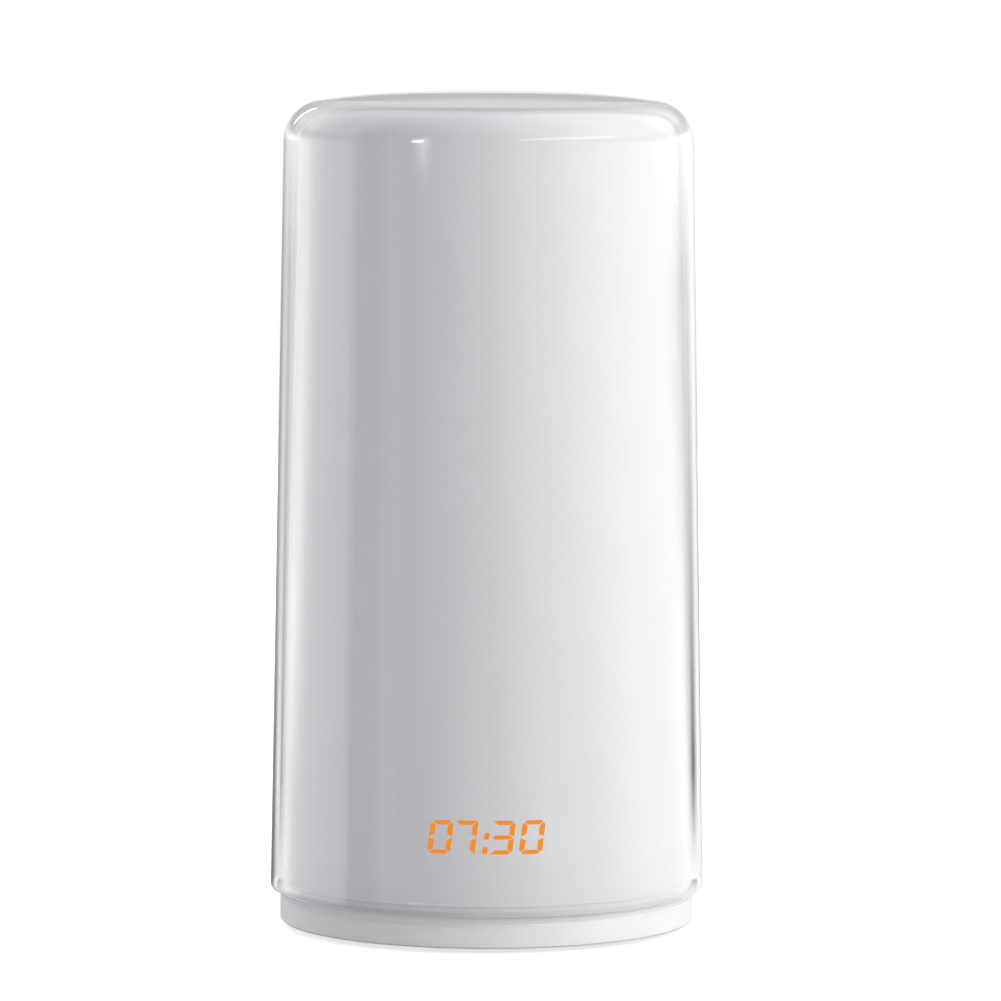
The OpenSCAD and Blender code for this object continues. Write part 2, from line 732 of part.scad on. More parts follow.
module bottom_cover() {
    color("gainsboro") difference() {
        union() {
            translate([0, 0, base_z]) cylinder(r = cover_r, h = cover_t, $fn = 180);
            translate([0, speaker_y, cover_top - eps]) difference() {
                cylinder(r = speaker_r + speaker_rim, h = speaker_rim_h);
                translate([0, 0, -eps]) cylinder(r = speaker_r + speaker_fit, h = speaker_rim_h + 1);
            }
            translate([0, cell_y, cover_top - eps]) cylinder(r = pocket_r, h = pocket_top - cover_top + eps);
            for (s = [-1, 1], k = [-1:1])
                translate([s * rib_x - rib_l / 2, rib_y + k * rib_step - rib_t / 2, cover_top - eps])
                    cube([rib_l, rib_t, rib_h]);
        }
        battery_pocket_cut();
        grille_holes();
        for (a = foot_angles) polar(foot_x, a, base_z - eps)
            cylinder(r = foot_d / 2 + foot_fit, h = foot_recess + eps, $fn = 48);
        for (a = cover_screw_angles) polar(cover_screw_x, a, base_z - eps) {
            cylinder(r = screw_r + hole_slack, h = cover_t + 2 * eps, $fn = 32);
            cylinder(r = head_r + hole_slack, h = cover_sink + eps, $fn = 40);
        }
        bar_y(jack_back - 0.3, jack_w + 0.6, cover_r + 1, key_z - jack_h / 2 - 0.05, cover_top + 1);
    }
}

module battery_door() {
    color("gainsboro") translate([0, cell_y, 0]) difference() {
        union() {
            translate([0, 0, base_z]) cylinder(r = door_r, h = door_top - base_z);
            for (s = [0, 180]) rotate([0, 0, door_lug_angle + s]) intersection() {
                bar(door_r - 1, door_r + lug_reach, lug_w, lug_z, door_top);
                translate([0, 0, lug_z - 1]) cylinder(r = door_r + lug_reach, h = 3);
            }
        }
        translate([-coin_slot[0] / 2, -coin_slot[1] / 2, base_z - eps]) cube(coin_slot);
    }
}

module rubber_feet() {
    color("dimgray") for (a = foot_angles) polar(foot_x, a) {
        cylinder(r1 = foot_d / 2 - foot_edge, r2 = foot_d / 2, h = foot_edge, $fn = 48);
        translate([0, 0, foot_edge])
            cylinder(d = foot_d, h = foot_proud + foot_recess - foot_edge, $fn = 48);
    }
}

module cover_screws() {
    color("silver") for (a = cover_screw_angles) polar(cover_screw_x, a, base_z + cover_sink)
        screw(screw_r, deck_low - base_z - 2 * cover_sink, head_r, cover_head_h);
}

module diffuser_screws() {
    color("silver") for (a = diffuser_screw_angles) polar(diffuser_boss_x, a, deck_low)
        screw(screw_r, deck_t + diffuser_bite, head_r, head_h);
}

// ---- keys, key board and power jack ----

module key_cap(index) {
    color("white") rotate([0, 0, key_angles[index]]) {
        intersection() {
            translate([0, 0, key_z]) pill(key_w, key_h, flange_x - eps, ring_r + 2);
            cylinder(r = ring_r + key_proud, h = shell_z, $fn = 180);
        }
        translate([0, 0, key_z]) {
            bar(flange_x - flange_t, flange_x, flange_w, -key_h / 2, key_h / 2);
            translate([plunger_x, 0, 0]) rotate([0, 90, 0]) cylinder(r = stem_r, h = stem_t + eps, $fn = 32);
        }
    }
}

module switch_plunger(index) {
    color("dimgray") rotate([0, 0, key_angles[index]]) translate([switch_x - plunger_in, 0, key_z])
        rotate([0, 90, 0]) cylinder(r = plunger_r, h = plunger_x - switch_x + plunger_in, $fn = 32);
}

module time_button() { key_cap(0); }
module alarm_button() { key_cap(1); }
module plus_button() { key_cap(2); }
module minus_button() { key_cap(3); }
module time_switch_plunger() { switch_plunger(0); }
module alarm_switch_plunger() { switch_plunger(1); }
module plus_switch_plunger() { switch_plunger(2); }
module minus_switch_plunger() { switch_plunger(3); }

module tact_switches() {
    color("black") for (a = key_angles) rotate([0, 0, a]) difference() {
        bar(switch_x - switch_d, switch_x, switch_w, key_z - switch_below, key_board_z);
        translate([switch_x - plunger_in - key_travel - 0.4, 0, key_z]) rotate([0, 90, 0])
            cylinder(r = plunger_r + plunger_fit, h = switch_d, $fn = 32);
    }
}

module dc_jack() {
    color("black") difference() {
        union() {
            bar_y(jack_back, jack_w, jack_front, key_z - jack_h / 2, key_board_z);
            intersection() {
                translate([0, jack_front - eps, key_z]) rotate([-90, 0, 0])
                    cylinder(r = jack_nose_r, h = 4, $fn = 48);
                cylinder(r = jack_mouth, h = shell_z, $fn = 180);
            }
        }
        translate([0, jack_mouth - jack_depth, key_z]) rotate([-90, 0, 0])
            cylinder(d = jack_bore, h = jack_depth + 1, $fn = 40);
    }
}

module dc_jack_pin() {
    color("gold") translate([0, jack_mouth - jack_depth, key_z]) rotate([-90, 0, 0])
        cylinder(d = jack_pin_d, h = jack_depth - jack_pin_short, $fn = 24);
}

module key_board() {
    color("darkgreen") difference() {
        translate([0, 0, key_board_z]) rotate([0, 0, 90 - key_board_span])
            rotate_extrude(angle = 2 * key_board_span, $fn = 180)
                translate([key_board_in, 0]) square([key_board_out - key_board_in, key_board_t]);
        for (a = key_screw_angles) polar(key_screw_x, a, key_board_z - eps)
            cylinder(r = small_r + hole_slack, h = key_board_t + 2 * eps, $fn = 24);
    }
}

module key_board_screws() {
    color("silver") for (a = key_screw_angles) polar(key_screw_x, a, key_board_z)
        screw(small_r, key_screw_l, small_head_r, small_head_h);
}

// a flat ribbon that leaves the key board and folds up to the main board's edge
module key_ribbon() {
    t = ribbon_t;
    y0 = key_board_in + 1;
    y1 = turret_in - 1.3;
    y2 = board_r - ribbon_socket_d;
    z0 = key_board_top;
    z1 = board_top + 0.75 * ribbon_socket_h;
    color("linen") translate([-ribbon_w / 2, 0, 0]) rotate([90, 0, 90]) linear_extrude(ribbon_w) polygon([
        [y0, z0], [y0, z0 + t], [y1 + 0.8 + t, z0 + t], [y1 + t, z0 + 1 + t],
        [y1 + t, z1 - 1 + t], [y1 - 0.8 + t, z1 + t], [y2, z1 + t], [y2, z1],
        [y1 - 0.9, z1], [y1, z1 - 1], [y1, z0 + 1], [y1 + 0.9, z0]]);
}

// ---- loudspeaker ----

module speaker_gasket() {
    color("black") translate([0, speaker_y, cover_top]) difference() {
        cylinder(r = speaker_r, h = gasket_t);
        translate([0, 0, -eps]) cylinder(r = speaker_r - gasket_w, h = gasket_t + 2 * eps);
    }
}

module speaker_frame() {
    color("dimgray") translate([0, speaker_y, speaker_z]) difference() {
        union() {
            rotate_extrude() polygon([
                [speaker_r - 3, 0], [speaker_r, 0], [speaker_r, speaker_flange_t],
                [speaker_r - 2.2, speaker_flange_t], [magnet_r + 1.2, basket_h - 1],
                [magnet_r + 1.2, basket_h], [0, basket_h], [0, basket_h - 1], [magnet_r, basket_h - 1],
                [speaker_r - 3.2, speaker_flange_t + 0.2]]);
            translate([speaker_r - 5.4, -3.5, basket_h - 2.4]) cube([3.4, 7, 1]);
        }
        for (a = [45:90:315]) rotate([0, 0, a]) bar(magnet_r + 1.6, speaker_r - 2.6, 7, 1.9, basket_h - 1.6);
    }
}

module speaker_magnet() {
    color("gray") translate([0, speaker_y, speaker_back]) {
        cylinder(r = magnet_r, h = magnet_h - 1);
        translate([0, 0, magnet_h - 1]) cylinder(r1 = magnet_r, r2 = magnet_r - 1, h = 1);
    }
}

// the paper cone with its rolled edge and dust cap
module speaker_cone() {
    r = speaker_r - 3.2;
    coil_r = 0.4 * r;
    t = 0.4;
    low = 0.3;
    high = basket_h - 3;
    line = concat(
        [for (i = [0:6]) [r - i / 3, low + 0.8 * sin(30 * i)]], [[coil_r, high]],
        [for (i = [1:6]) let (u = max(1, 6 - i) / 6) [coil_r * (1 - i / 6), high - 1.4 * (1 - u * u)]]);
    color("black") translate([0, speaker_y, speaker_z]) rotate_extrude() {
        polygon(concat(line, backward([for (p = line) p + [0, t]])));
        translate([coil_r - t / 2, high + t / 2]) square([t, basket_h - 1.4 - high - t / 2]);
    }
}

module speaker_leads() {
    x = speaker_r - 3.6;
    color("firebrick") for (s = [-1, 1]) wire(route([
        [x, speaker_y + s * 2, speaker_z + basket_h - 1.4 + lead_lift],
        [x, speaker_y + s * 2, speaker_z + basket_h + 1],
        [x + 1.6, speaker_y + s * 1.6, board_z - 5],
        [x + 1.6, speaker_y + s * 1.6, board_z - socket_h - lead_lift]], 4), lead_r, [0, 1, 0]);
}

// ---- clock electronics ----

module main_board() {
    color("darkgreen") difference() {
        translate([0, 0, board_z]) cylinder(r = board_r, h = board_t, $fn = 120);
        for (a = post_angles) polar(post_x, a, board_z - eps)
            cylinder(r = small_r + hole_slack, h = board_t + 2 * eps, $fn = 24);
    }
}

module main_board_screws() {
    color("silver") for (a = post_angles) polar(post_x, a, board_z)
        screw(small_r, board_t + board_bite, small_head_r, small_head_h);
}

module on_board(place) {
    translate([place[0] * board_r, place[1] * board_r, board_top]) children();
}

// controller, memory, radio module and audio amplifier
module board_chips() {
    chips = [controller, memory, radio, amplifier];
    color("black") for (i = [0:len(chips) - 1]) on_board(chip_places[i])
        translate([-chips[i][0] / 2, -chips[i][1] / 2, 0]) cube(chips[i]);
}

module board_capacitors() {
    color("slategray") for (p = capacitor_places) on_board(p) {
        cylinder(d = capacitor_d, h = capacitor_h, $fn = 40);
        translate([0, 0, capacitor_h]) cylinder(d1 = capacitor_d, d2 = capacitor_d - 2 * capacitor_edge,
            h = capacitor_edge, $fn = 40);
    }
}

module clock_crystal() {
    color("silver") on_board(crystal_place) cylinder(d = crystal_d, h = crystal_h, $fn = 32);
}

// ribbon sockets above, lead sockets below and on top of the board
module board_connectors() {
    color("ivory") {
        bar_y(-post_x - ribbon_socket_d / 2, display_socket_w, -post_x + ribbon_socket_d / 2,
            board_top, board_top + ribbon_socket_h);
        bar_y(board_r - 2 * ribbon_socket_d, ribbon_socket_w, board_r - ribbon_socket_d,
            board_top, board_top + ribbon_socket_h);
        translate([speaker_r - 4.5, speaker_y - 3, board_z - socket_h]) cube([5, 6, socket_h]);
        for (y = [power_socket_y, cell_socket_y])
            bar_y(y - socket_d / 2, socket_w, y + socket_d / 2, board_z - socket_h, board_z);
        rotate([0, 0, lead_angle]) bar(lead_hole_x - socket_d / 2, lead_hole_x + socket_d / 2, socket_w,
            board_top, board_top + top_socket_h);
        translate([touch_x - socket_d / 2, touch_y - socket_d / 2, board_top])
            cube([socket_d, socket_d, top_socket_h]);
    }
}

// ---- backup cell ----

module coin_cell() {
    color("silver") translate([0, cell_y, cell_z]) {
        cylinder(r = cell_r - 1.2, h = 0.3);
        translate([0, 0, 0.3]) cylinder(r = cell_r, h = cell_t - 0.3);
    }
}

// two sprung strips on the pocket's ceiling, with their tails up through it
module battery_contacts() {
    t = contact_t;
    bend = contact_x + 2.8;
    color("gold") for (s = [0, 180]) translate([0, cell_y, cell_z + cell_t]) rotate([0, 0, s]) {
        bar(contact_x - 1.6, bend, contact_w, contact_room - t, contact_room);
        rotate([90, 0, 0]) translate([0, 0, -contact_w / 2]) linear_extrude(contact_w) polygon([
            [bend, contact_room], [bend, contact_room - t], [bend + 1.2, 0.05], [bend + 1.5, 0.05 + t]]);
        translate([contact_x, 0, contact_room - eps]) cylinder(r = tail_r, h = contact_tail + eps, $fn = 20);
    }
}

module battery_leads() {
    start = pocket_ceiling + contact_tail + lead_lift;
    color("firebrick") for (s = [-1, 1]) wire(route([
        [s * contact_x, cell_y, start], [s * contact_x, cell_y + 1, start + 3],
        [s * contact_x / 2, cell_socket_y, board_z - socket_h - 2.4],
        [s * contact_x / 2, cell_socket_y, board_z - socket_h - lead_lift]], 4), lead_r, [1, 0, 0]);
}

module power_leads() {
    color("black") for (s = [-1, 1]) wire(route([
        [s * power_lead_x, jack_back - lead_lift, key_z], [s * power_lead_x, jack_back - 2.2, key_z + 1.2],
        [s * power_lead_x, power_socket_y + 0.7, deck_top + 0.5],
        [s * power_lead_x, power_socket_y, board_z - socket_h - 2.4],
        [s * power_lead_x, power_socket_y, board_z - socket_h - lead_lift]], 4), lead_r, [1, 0, 0]);
}

// ---- light column ----

module led_column() {
    color("silver") difference() {
        translate([0, 0, turret_top]) rotate([0, 0, 30])
            cylinder(r = column_r, h = column_top - turret_top, $fn = 6);
        translate([0, 0, turret_top - eps])
            cylinder(d = column_bore, h = column_top - turret_top + 2 * eps, $fn = 48);
        for (a = column_screw_angles) polar(column_screw_x, a, turret_top - eps)
            cylinder(r = small_r + screw_slack, h = column_bite + screw_room, $fn = 24);
        for (a = column_screw_angles) polar(column_screw_x, a, column_top - column_bite - screw_room)
            cylinder(r = small_r + screw_slack, h = column_bite + screw_room + eps, $fn = 24);
    }
}

// a flexible board wrapped round the column
module led_flex_board() {
    color("white") difference() {
        translate([0, 0, flex_low]) rotate([0, 0, 30])
            cylinder(r = led_face / cos(30), h = flex_high - flex_low, $fn = 6);
        translate([0, 0, flex_low - eps]) rotate([0, 0, 30])
            cylinder(r = column_r, h = flex_high - flex_low + 2 * eps, $fn = 6);
    }
}

// a row of light sources up each side of the column, the share of a step above its foot
module led_rows(share, width, thick) {
    for (a = [0:60:300], i = [0:leds_high - 1]) let (z = flex_low + led_step * (i + share))
        rotate([0, 0, a]) bar(led_face, led_face + thick, width, z - led_l / 2, z + led_l / 2);
}

module warm_leds() {
    color("khaki") led_rows(0.25, warm_led_w, warm_led_t);
}

module colour_leds() {
    color("lightblue") led_rows(0.75, colour_led_w, colour_led_t);
}

module led_leads() {
    x = led_face + lead_r + lead_lift;
    color("firebrick") rotate([0, 0, lead_angle]) for (s = [-1, 0, 1]) wire(route([
        [lead_hole_x, s * lead_pitch, board_top + top_socket_h + lead_lift],
        [lead_hole_x, s * lead_pitch, roof_low - 2], [lead_hole_x - 0.2, s * lead_pitch, turret_top + 0.6],
        [x + 0.6, s * lead_pitch, flex_low], [x, s * lead_pitch, flex_low + 2]], 4), lead_r, [0, 1, 0]);
}

module column_screws() {
    color("silver") {
        for (a = column_screw_angles) polar(column_screw_x, a, roof_low)
            screw(small_r, roof_t + column_bite, small_head_r, small_head_h);
        for (a = column_screw_angles) polar(column_screw_x, a, column_top + cap_t)
            rotate([180, 0, 0]) screw(small_r, cap_t + column_bite, small_head_r, small_head_h);
    }
}

module column_cap() {
    color("ivory") difference() {
        union() {
            translate([0, 0, column_top]) rotate([0, 0, 30])
                cylinder(r = column_r + cap_over, h = cap_t, $fn = 6);
            translate([0, 0, column_top + cap_t - eps]) cylinder(r = spigot_r, h = spigot_h, $fn = 40);
        }
        translate([0, 0, column_top - eps]) cylinder(r = cap_bore_r, h = cap_t + spigot_h + 1, $fn = 24);
        for (a = column_screw_angles) polar(column_screw_x, a, column_top - eps)
            cylinder(r = small_r + hole_slack, h = cap_t + 2 * eps, $fn = 24);
    }
}

module touch_plate() {
    color("peru") translate([0, 0, touch_z]) cylinder(d = touch_d, h = touch_t);
}

// a coil that stands round the cap's spigot and presses on the touch plate
module touch_spring() {
    low = column_top + cap_t + spring_wire_r;
    rise = touch_z - spring_wire_r - low;
    steps = 14;
    color("silver") wire([for (i = [0:spring_turns * steps]) let (a = 360 * i / steps)
        [spring_r * cos(a), spring_r * sin(a), low + rise * i / spring_turns / steps]],
        spring_wire_r, [0, 0, 1], 6);
}

module touch_lead() {
    socket_top = board_top + top_socket_h;
    color("goldenrod") wire(route([
        [touch_x, touch_y, socket_top + lead_lift], [touch_x, touch_y, socket_top + 2],
        [touch_x / 4, touch_y / 2, roof_low - 1], [0, 0, turret_top + column_bore * 3],
        [0, 0, (turret_top + column_top) / 2], [0, 0, column_top - column_bore],
        [0, 0, column_top + cap_t + spigot_h]], 4), lead_r, [1, 0, 0]);
}

outer_shell();
inner_diffuser();
base_housing();
bottom_cover();
battery_door();
rubber_feet();
cover_screws();
diffuser_screws();
time_button();
alarm_button();
plus_button();
minus_button();
time_switch_plunger();
alarm_switch_plunger();
plus_switch_plunger();
minus_switch_plunger();
tact_switches();
dc_jack();
dc_jack_pin();
key_board();
key_board_screws();
key_ribbon();
speaker_frame();
speaker_magnet();
speaker_cone();
speaker_gasket();
speaker_leads();
main_board();
main_board_screws();
board_chips();
board_capacitors();
board_connectors();
clock_crystal();
coin_cell();
battery_contacts();
battery_leads();
power_leads();
led_column();
led_flex_board();
warm_leds();
colour_leds();
led_leads();
column_screws();
column_cap();
touch_plate();
touch_spring();
touch_lead();
display_board();
display_leds();
display_reflector();
display_screws();
display_ribbon();
lit_segments();
unlit_segments();
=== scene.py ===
import json
import math
import bmesh
import bpy
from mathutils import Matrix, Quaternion, Vector

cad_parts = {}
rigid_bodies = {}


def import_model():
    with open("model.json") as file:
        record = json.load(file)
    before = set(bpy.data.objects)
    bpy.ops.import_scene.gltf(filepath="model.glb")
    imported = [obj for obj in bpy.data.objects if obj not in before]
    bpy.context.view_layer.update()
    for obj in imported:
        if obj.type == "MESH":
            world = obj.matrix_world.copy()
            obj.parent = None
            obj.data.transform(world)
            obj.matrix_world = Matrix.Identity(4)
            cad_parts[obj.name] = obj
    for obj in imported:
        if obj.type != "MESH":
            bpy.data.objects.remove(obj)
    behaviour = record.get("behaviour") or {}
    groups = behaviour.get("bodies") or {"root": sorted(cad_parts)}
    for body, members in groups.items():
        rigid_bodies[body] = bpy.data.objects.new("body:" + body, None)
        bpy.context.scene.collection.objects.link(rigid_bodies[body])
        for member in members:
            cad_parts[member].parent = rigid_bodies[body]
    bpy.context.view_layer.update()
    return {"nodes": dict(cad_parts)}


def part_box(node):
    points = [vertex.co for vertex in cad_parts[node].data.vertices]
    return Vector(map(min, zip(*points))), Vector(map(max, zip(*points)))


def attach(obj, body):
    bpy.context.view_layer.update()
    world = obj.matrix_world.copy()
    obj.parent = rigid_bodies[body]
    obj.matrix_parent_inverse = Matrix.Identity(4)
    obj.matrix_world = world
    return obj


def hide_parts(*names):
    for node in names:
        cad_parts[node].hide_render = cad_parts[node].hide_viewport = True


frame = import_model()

nodes = frame["nodes"]
mm = 0.001
weld = 1e-6  # m, within which two points are one


def linear(hexColour):  # sRGB hex to the linear colour that a shader takes
    parts = [int(hexColour[i:i + 2], 16) / 255 for i in (1, 3, 5)]
    return tuple(p / 12.92 if p <= 0.04045 else ((p + 0.055) / 1.055) ** 2.4 for p in parts) + (1.0,)


def addNode(tree, kind, inputs=(), **settings):  # an input that is a socket is linked, any other is set
    node = tree.nodes.new(kind)
    for key, value in settings.items():
        setattr(node, key, value)
    for key, value in dict(inputs).items():
        if isinstance(value, bpy.types.NodeSocket):
            tree.links.new(value, node.inputs[key])
        else:
            node.inputs[key].default_value = value
    return node


# camera, floor and lights

camera = {
    "distance": 1.38,  # in front of the lamp, m
    "height": 0.21507,
    "downDegrees": 4.611,
    "turnDegrees": 0.13,
    "rollDegrees": 0.158,
    "lens": 203.83,  # mm
    "sensor": 36.0,
    "sight": 20.0,  # m
}


def makeCamera():
    data = bpy.data.cameras.new("camera")
    data.lens = camera["lens"]
    data.sensor_width = camera["sensor"]
    data.clip_end = camera["sight"]
    made = bpy.data.objects.new("camera", data)
    down, turn = math.radians(camera["downDegrees"]), math.radians(camera["turnDegrees"])
    ahead = Vector((math.sin(turn) * math.cos(down), math.cos(turn) * math.cos(down), -math.sin(down)))
    made.location = (0, -camera["distance"], camera["height"])
    roll = Quaternion((0, 0, 1), math.radians(camera["rollDegrees"]))
    made.rotation_euler = (ahead.to_track_quat("-Z", "Y") @ roll).to_euler()
    bpy.context.scene.collection.objects.link(made)
    bpy.context.scene.camera = made


def newMaterial(name):  # with the coordinates that its patterns follow
    made = bpy.data.materials.new(name)
    made.use_nodes = True
    tree = made.node_tree
    tree.nodes.clear()
    return made, tree, addNode(tree, "ShaderNodeTexCoord").outputs["Object"]


floorPlan = {
    "radius": 1.6,  # m
    "sides": 96,
    "paper": "#cccccc",
    "glow": 0.72,  # what the camera sees on top of the paper beside the lamp
    "near": 0.16,  # m from the lamp, where the glow starts to rise
    "far": 0.75,  # where it has become white
}


def makeFloor():
    mesh = bpy.data.meshes.new("floor")
    shape = bmesh.new()
    bmesh.ops.create_circle(shape, cap_ends=True, segments=floorPlan["sides"], radius=floorPlan["radius"])
    shape.to_mesh(mesh)
    shape.free()
    floor = bpy.data.objects.new("floor", mesh)
    bpy.context.scene.collection.objects.link(floor)
    finish, tree, coords = newMaterial("whitePaperFloor")
    away = addNode(tree, "ShaderNodeVectorMath", {0: coords}, operation="LENGTH")
    rise = addNode(tree, "ShaderNodeMapRange", {
        "Value": away.outputs["Value"], "From Min": floorPlan["near"], "From Max": floorPlan["far"],
        "To Min": floorPlan["glow"], "To Max": 1.0}, interpolation_type="SMOOTHSTEP")
    seen = addNode(tree, "ShaderNodeLightPath").outputs["Is Camera Ray"]
    glow = addNode(tree, "ShaderNodeMath", {0: seen, 1: rise.outputs[0]}, operation="MULTIPLY")
    light = addNode(tree, "ShaderNodeEmission", {"Color": linear("#ffffff"), "Strength": glow.outputs[0]})
    paper = addNode(tree, "ShaderNodeBsdfDiffuse", {"Color": linear(floorPlan["paper"])})
    both = addNode(tree, "ShaderNodeAddShader", {0: light.outputs[0], 1: paper.outputs[0]})
    addNode(tree, "ShaderNodeOutputMaterial", {"Surface": both.outputs[0]})
    mesh.materials.append(finish)
    floor.visible_glossy = floor.visible_transmission = False


studio = {
    "fill": 0.43,  # strength of the even light from all round
    "fillColour": "#f9f8fc",
    "aim": 0.10,  # m, the height on the lamp's axis that the lights face
}
# what gloss and clear plastic show round the lamp, by degrees from the far side, negative to the left
sides = {
    -180: 0.30, -133: 0.30, -129: 0.55, -121: 0.55, -117: 0.27, -99: 0.27, -97: 0.95, -62: 0.95,
    60: 1.10, 90: 1.05, 120: 0.6, 180: 0.30,
}
walls = {  # behind the lamp, by height of view (the z of its direction): pale sheets with dark flags between
    -0.140: {-54: 0.95, -44: 1.2, -40: 1.2, -34: 0.95, -30: 0.78, -26: 0.9, -23: 0.7, -17: 0.12, -9: 0.12,
             0: 0.4, 15: 0.95, 30: 1.05, 45: 1.15},
    -0.119: {-52: 0.9, -41: 1.3, -38: 1.15, -35: 0.4, -29.5: 0.22, -27: 1.0, -23.5: 1.2, -18.5: 0.14,
             -15: 0.12, -12: 0.3, 0: 0.2, 9: 0.35, 13: 0.75, 18: 1.3, 21: 1.1, 24: 0.55, 27: 0.12,
             34: 0.12, 37: 0.9, 40: 1.2},
    -0.088: {-54: 1.3, -44: 1.6, -39: 1.3, -33: 0.36, -30: 0.34, -27: 0.7, -23: 0.92, -21: 0.75, -18: 0.36,
             -9: 0.3, 0: 0.2, 9: 0.4, 12: 0.6, 18: 1.15, 21: 1.05, 27: 0.36, 33: 0.6, 37: 0.5, 40: 0.6,
             45: 1.3},
    -0.030: {-58: 1.4, -48: 1.6, -44: 1.3, -40: 0.85, -30: 0.5, -27: 0.52, -23: 0.82, -20: 0.76, -15: 0.24,
             -12: 0.4, -9: 0.5, 0: 0.4, 9: 0.75, 13: 1.05, 24: 1.02, 31: 0.7, 36: 0.8, 44: 0.38, 48: 0.6,
             54: 1.05},
    0.030: {-60: 1.4, -35: 1.3, -22: 1.0, -10: 0.9, 10: 1.0, 25: 1.35, 38: 1.7, 55: 1.6},
}
above = {  # share of those strengths, by height of view
    -1.0: 0.35, -0.45: 0.35, -0.35: 1.0, 0.04: 1.0, 0.12: 0.5, 0.21: 0.54, 0.3: 0.72, 0.45: 0.68, 0.6: 0.55,
}


def strengths(tree, value, stops, low, high):  # up to twice white, by a value from low to high
    blend = addNode(tree, "ShaderNodeValToRGB", {0: value})
    elements = blend.color_ramp.elements
    while len(elements) < len(stops):
        elements.new(0.5)
    for element, (where, strength) in zip(elements, sorted(stops.items())):
        element.position = (where - low) / (high - low)
        element.color = (strength / 2, strength / 2, strength / 2, 1.0)
    return addNode(tree, "ShaderNodeMath", {0: blend.outputs[0], 1: 2.0}, operation="MULTIPLY").outputs[0]


def makeWorld():
    world = bpy.data.worlds.new("studio")
    bpy.context.scene.world = world
    world.use_nodes = True
    tree = world.node_tree
    tree.nodes.clear()
    path = addNode(tree, "ShaderNodeLightPath").outputs
    coords = addNode(tree, "ShaderNodeTexCoord").outputs["Generated"]
    axes = addNode(tree, "ShaderNodeSeparateXYZ", {0: coords}).outputs
    turn = addNode(tree, "ShaderNodeMath", {0: axes["X"], 1: axes["Y"]}, operation="ARCTAN2").outputs[0]
    share = addNode(tree, "ShaderNodeMapRange", {"Value": turn, "From Min": -math.pi, "From Max": math.pi})
    heights = sorted(walls)
    rounds = [strengths(tree, share.outputs[0], {**sides, **walls[z]}, -180, 180) for z in heights]
    shown = rounds[0]
    for low, high, upper in zip(heights, heights[1:], rounds[1:]):
        raised = addNode(tree, "ShaderNodeMapRange", {"Value": axes["Z"], "From Min": low, "From Max": high})
        mixed = addNode(tree, "ShaderNodeMix", {0: raised.outputs[0], 2: shown, 3: upper}, data_type="FLOAT")
        shown = mixed.outputs[0]
    tall = addNode(tree, "ShaderNodeMapRange", {"Value": axes["Z"], "From Min": -1.0, "From Max": 1.0})
    faded = strengths(tree, tall.outputs[0], above, -1, 1)
    shown = addNode(tree, "ShaderNodeMath", {0: shown, 1: faded}, operation="MULTIPLY").outputs[0]
    diffuse = path["Is Diffuse Ray"]
    lit = addNode(tree, "ShaderNodeMix", {0: diffuse, 2: shown, 3: studio["fill"]}, data_type="FLOAT")
    level = addNode(tree, "ShaderNodeMix", {0: path["Is Camera Ray"], 2: lit.outputs[0], 3: 1.0},
                    data_type="FLOAT")
    tint = addNode(tree, "ShaderNodeMix", {
        0: diffuse, 6: linear("#ffffff"), 7: linear(studio["fillColour"])}, data_type="RGBA")
    light = addNode(tree, "ShaderNodeBackground", {"Color": tint.outputs[2], "Strength": level.outputs[0]})
    addNode(tree, "ShaderNodeOutputWorld", {"Surface": light.outputs[0]})


lamps = {  # degrees from the front, positive to the right; m and watts; gloss mirrors the oval ones alone
    "backLeft": {"turn": -125, "height": 0.40, "away": 1.3, "width": 0.8, "tall": 1.0, "watts": 5.4},
    "keyRight": {"turn": 70, "height": 0.35, "away": 1.3, "width": 1.0, "tall": 1.2, "watts": 15.0,
                 "colour": "#fffcf6"},
    "overhead": {"turn": 180, "height": 1.30, "away": 0.1, "width": 0.9, "tall": 0.9, "watts": 4.2},
    "spotLeft": {"turn": -39, "height": 0.31, "away": 1.0, "width": 0.13, "tall": 0.11, "watts": 0.55,
                 "oval": True},
    "stripRight": {"turn": 27.8, "height": 0.41, "away": 0.94, "width": 1.41, "tall": 0.1, "watts": 1.1,
                   "oval": True, "faces": 90, "tilt": -8.5},
    "rimLeft": {"turn": -155, "height": 0.56, "away": 1.2, "width": 0.05, "tall": 0.35, "watts": 0.25,
                "oval": True, "tilt": 35},
}


def makeLamps():
    for name, values in lamps.items():
        oval = values.get("oval", False)
        data = bpy.data.lights.new(name, "AREA")
        data.shape = "ELLIPSE" if oval else "RECTANGLE"
        data.size, data.size_y = values["width"], values["tall"]
        data.energy = values["watts"]
        data.color = linear(values.get("colour", "#ffffff"))[:3]
        lamp = bpy.data.objects.new(name, data)
        turn = math.radians(values["turn"])
        lamp.location = (math.sin(turn) * values["away"], -math.cos(turn) * values["away"], values["height"])
        toward = Vector((0, 0, studio["aim"])) - lamp.location
        if "faces" in values:  # across the scene, not at the lamp
            side = math.radians(values["faces"])
            toward = Vector((-math.sin(side), math.cos(side), 0))
        lamp.rotation_euler = toward.to_track_quat("-Z", "Y").to_euler()
        lamp.rotation_euler.rotate_axis("Z", math.radians(values.get("tilt", 0)))
        bpy.context.scene.collection.objects.link(lamp)
        lamp.visible_glossy = oval
        lamp.visible_transmission = False


makeCamera()
makeFloor()
makeWorld()
makeLamps()
bpy.context.scene.view_settings.view_transform = "Standard"
print("camera, floor and lights done")

# materials

acrylic = {
    "waveLength": 28.0,  # mm, of the flow waves that moulding leaves in the skin
    "waveDepth": 0.02,  # mm
    "rimStart": 0.15,  # mm above the lower edge: the band where light passing through is painted dark, a painted shadow on the ring below
    "rimEnd": 0.45,
    # painted shadow: the grey that light passing the shell's lower edge takes on
    "rimShade": "#77777b",
    "mirrorings": 3,  # light that was mirrored more often passes straight through
}


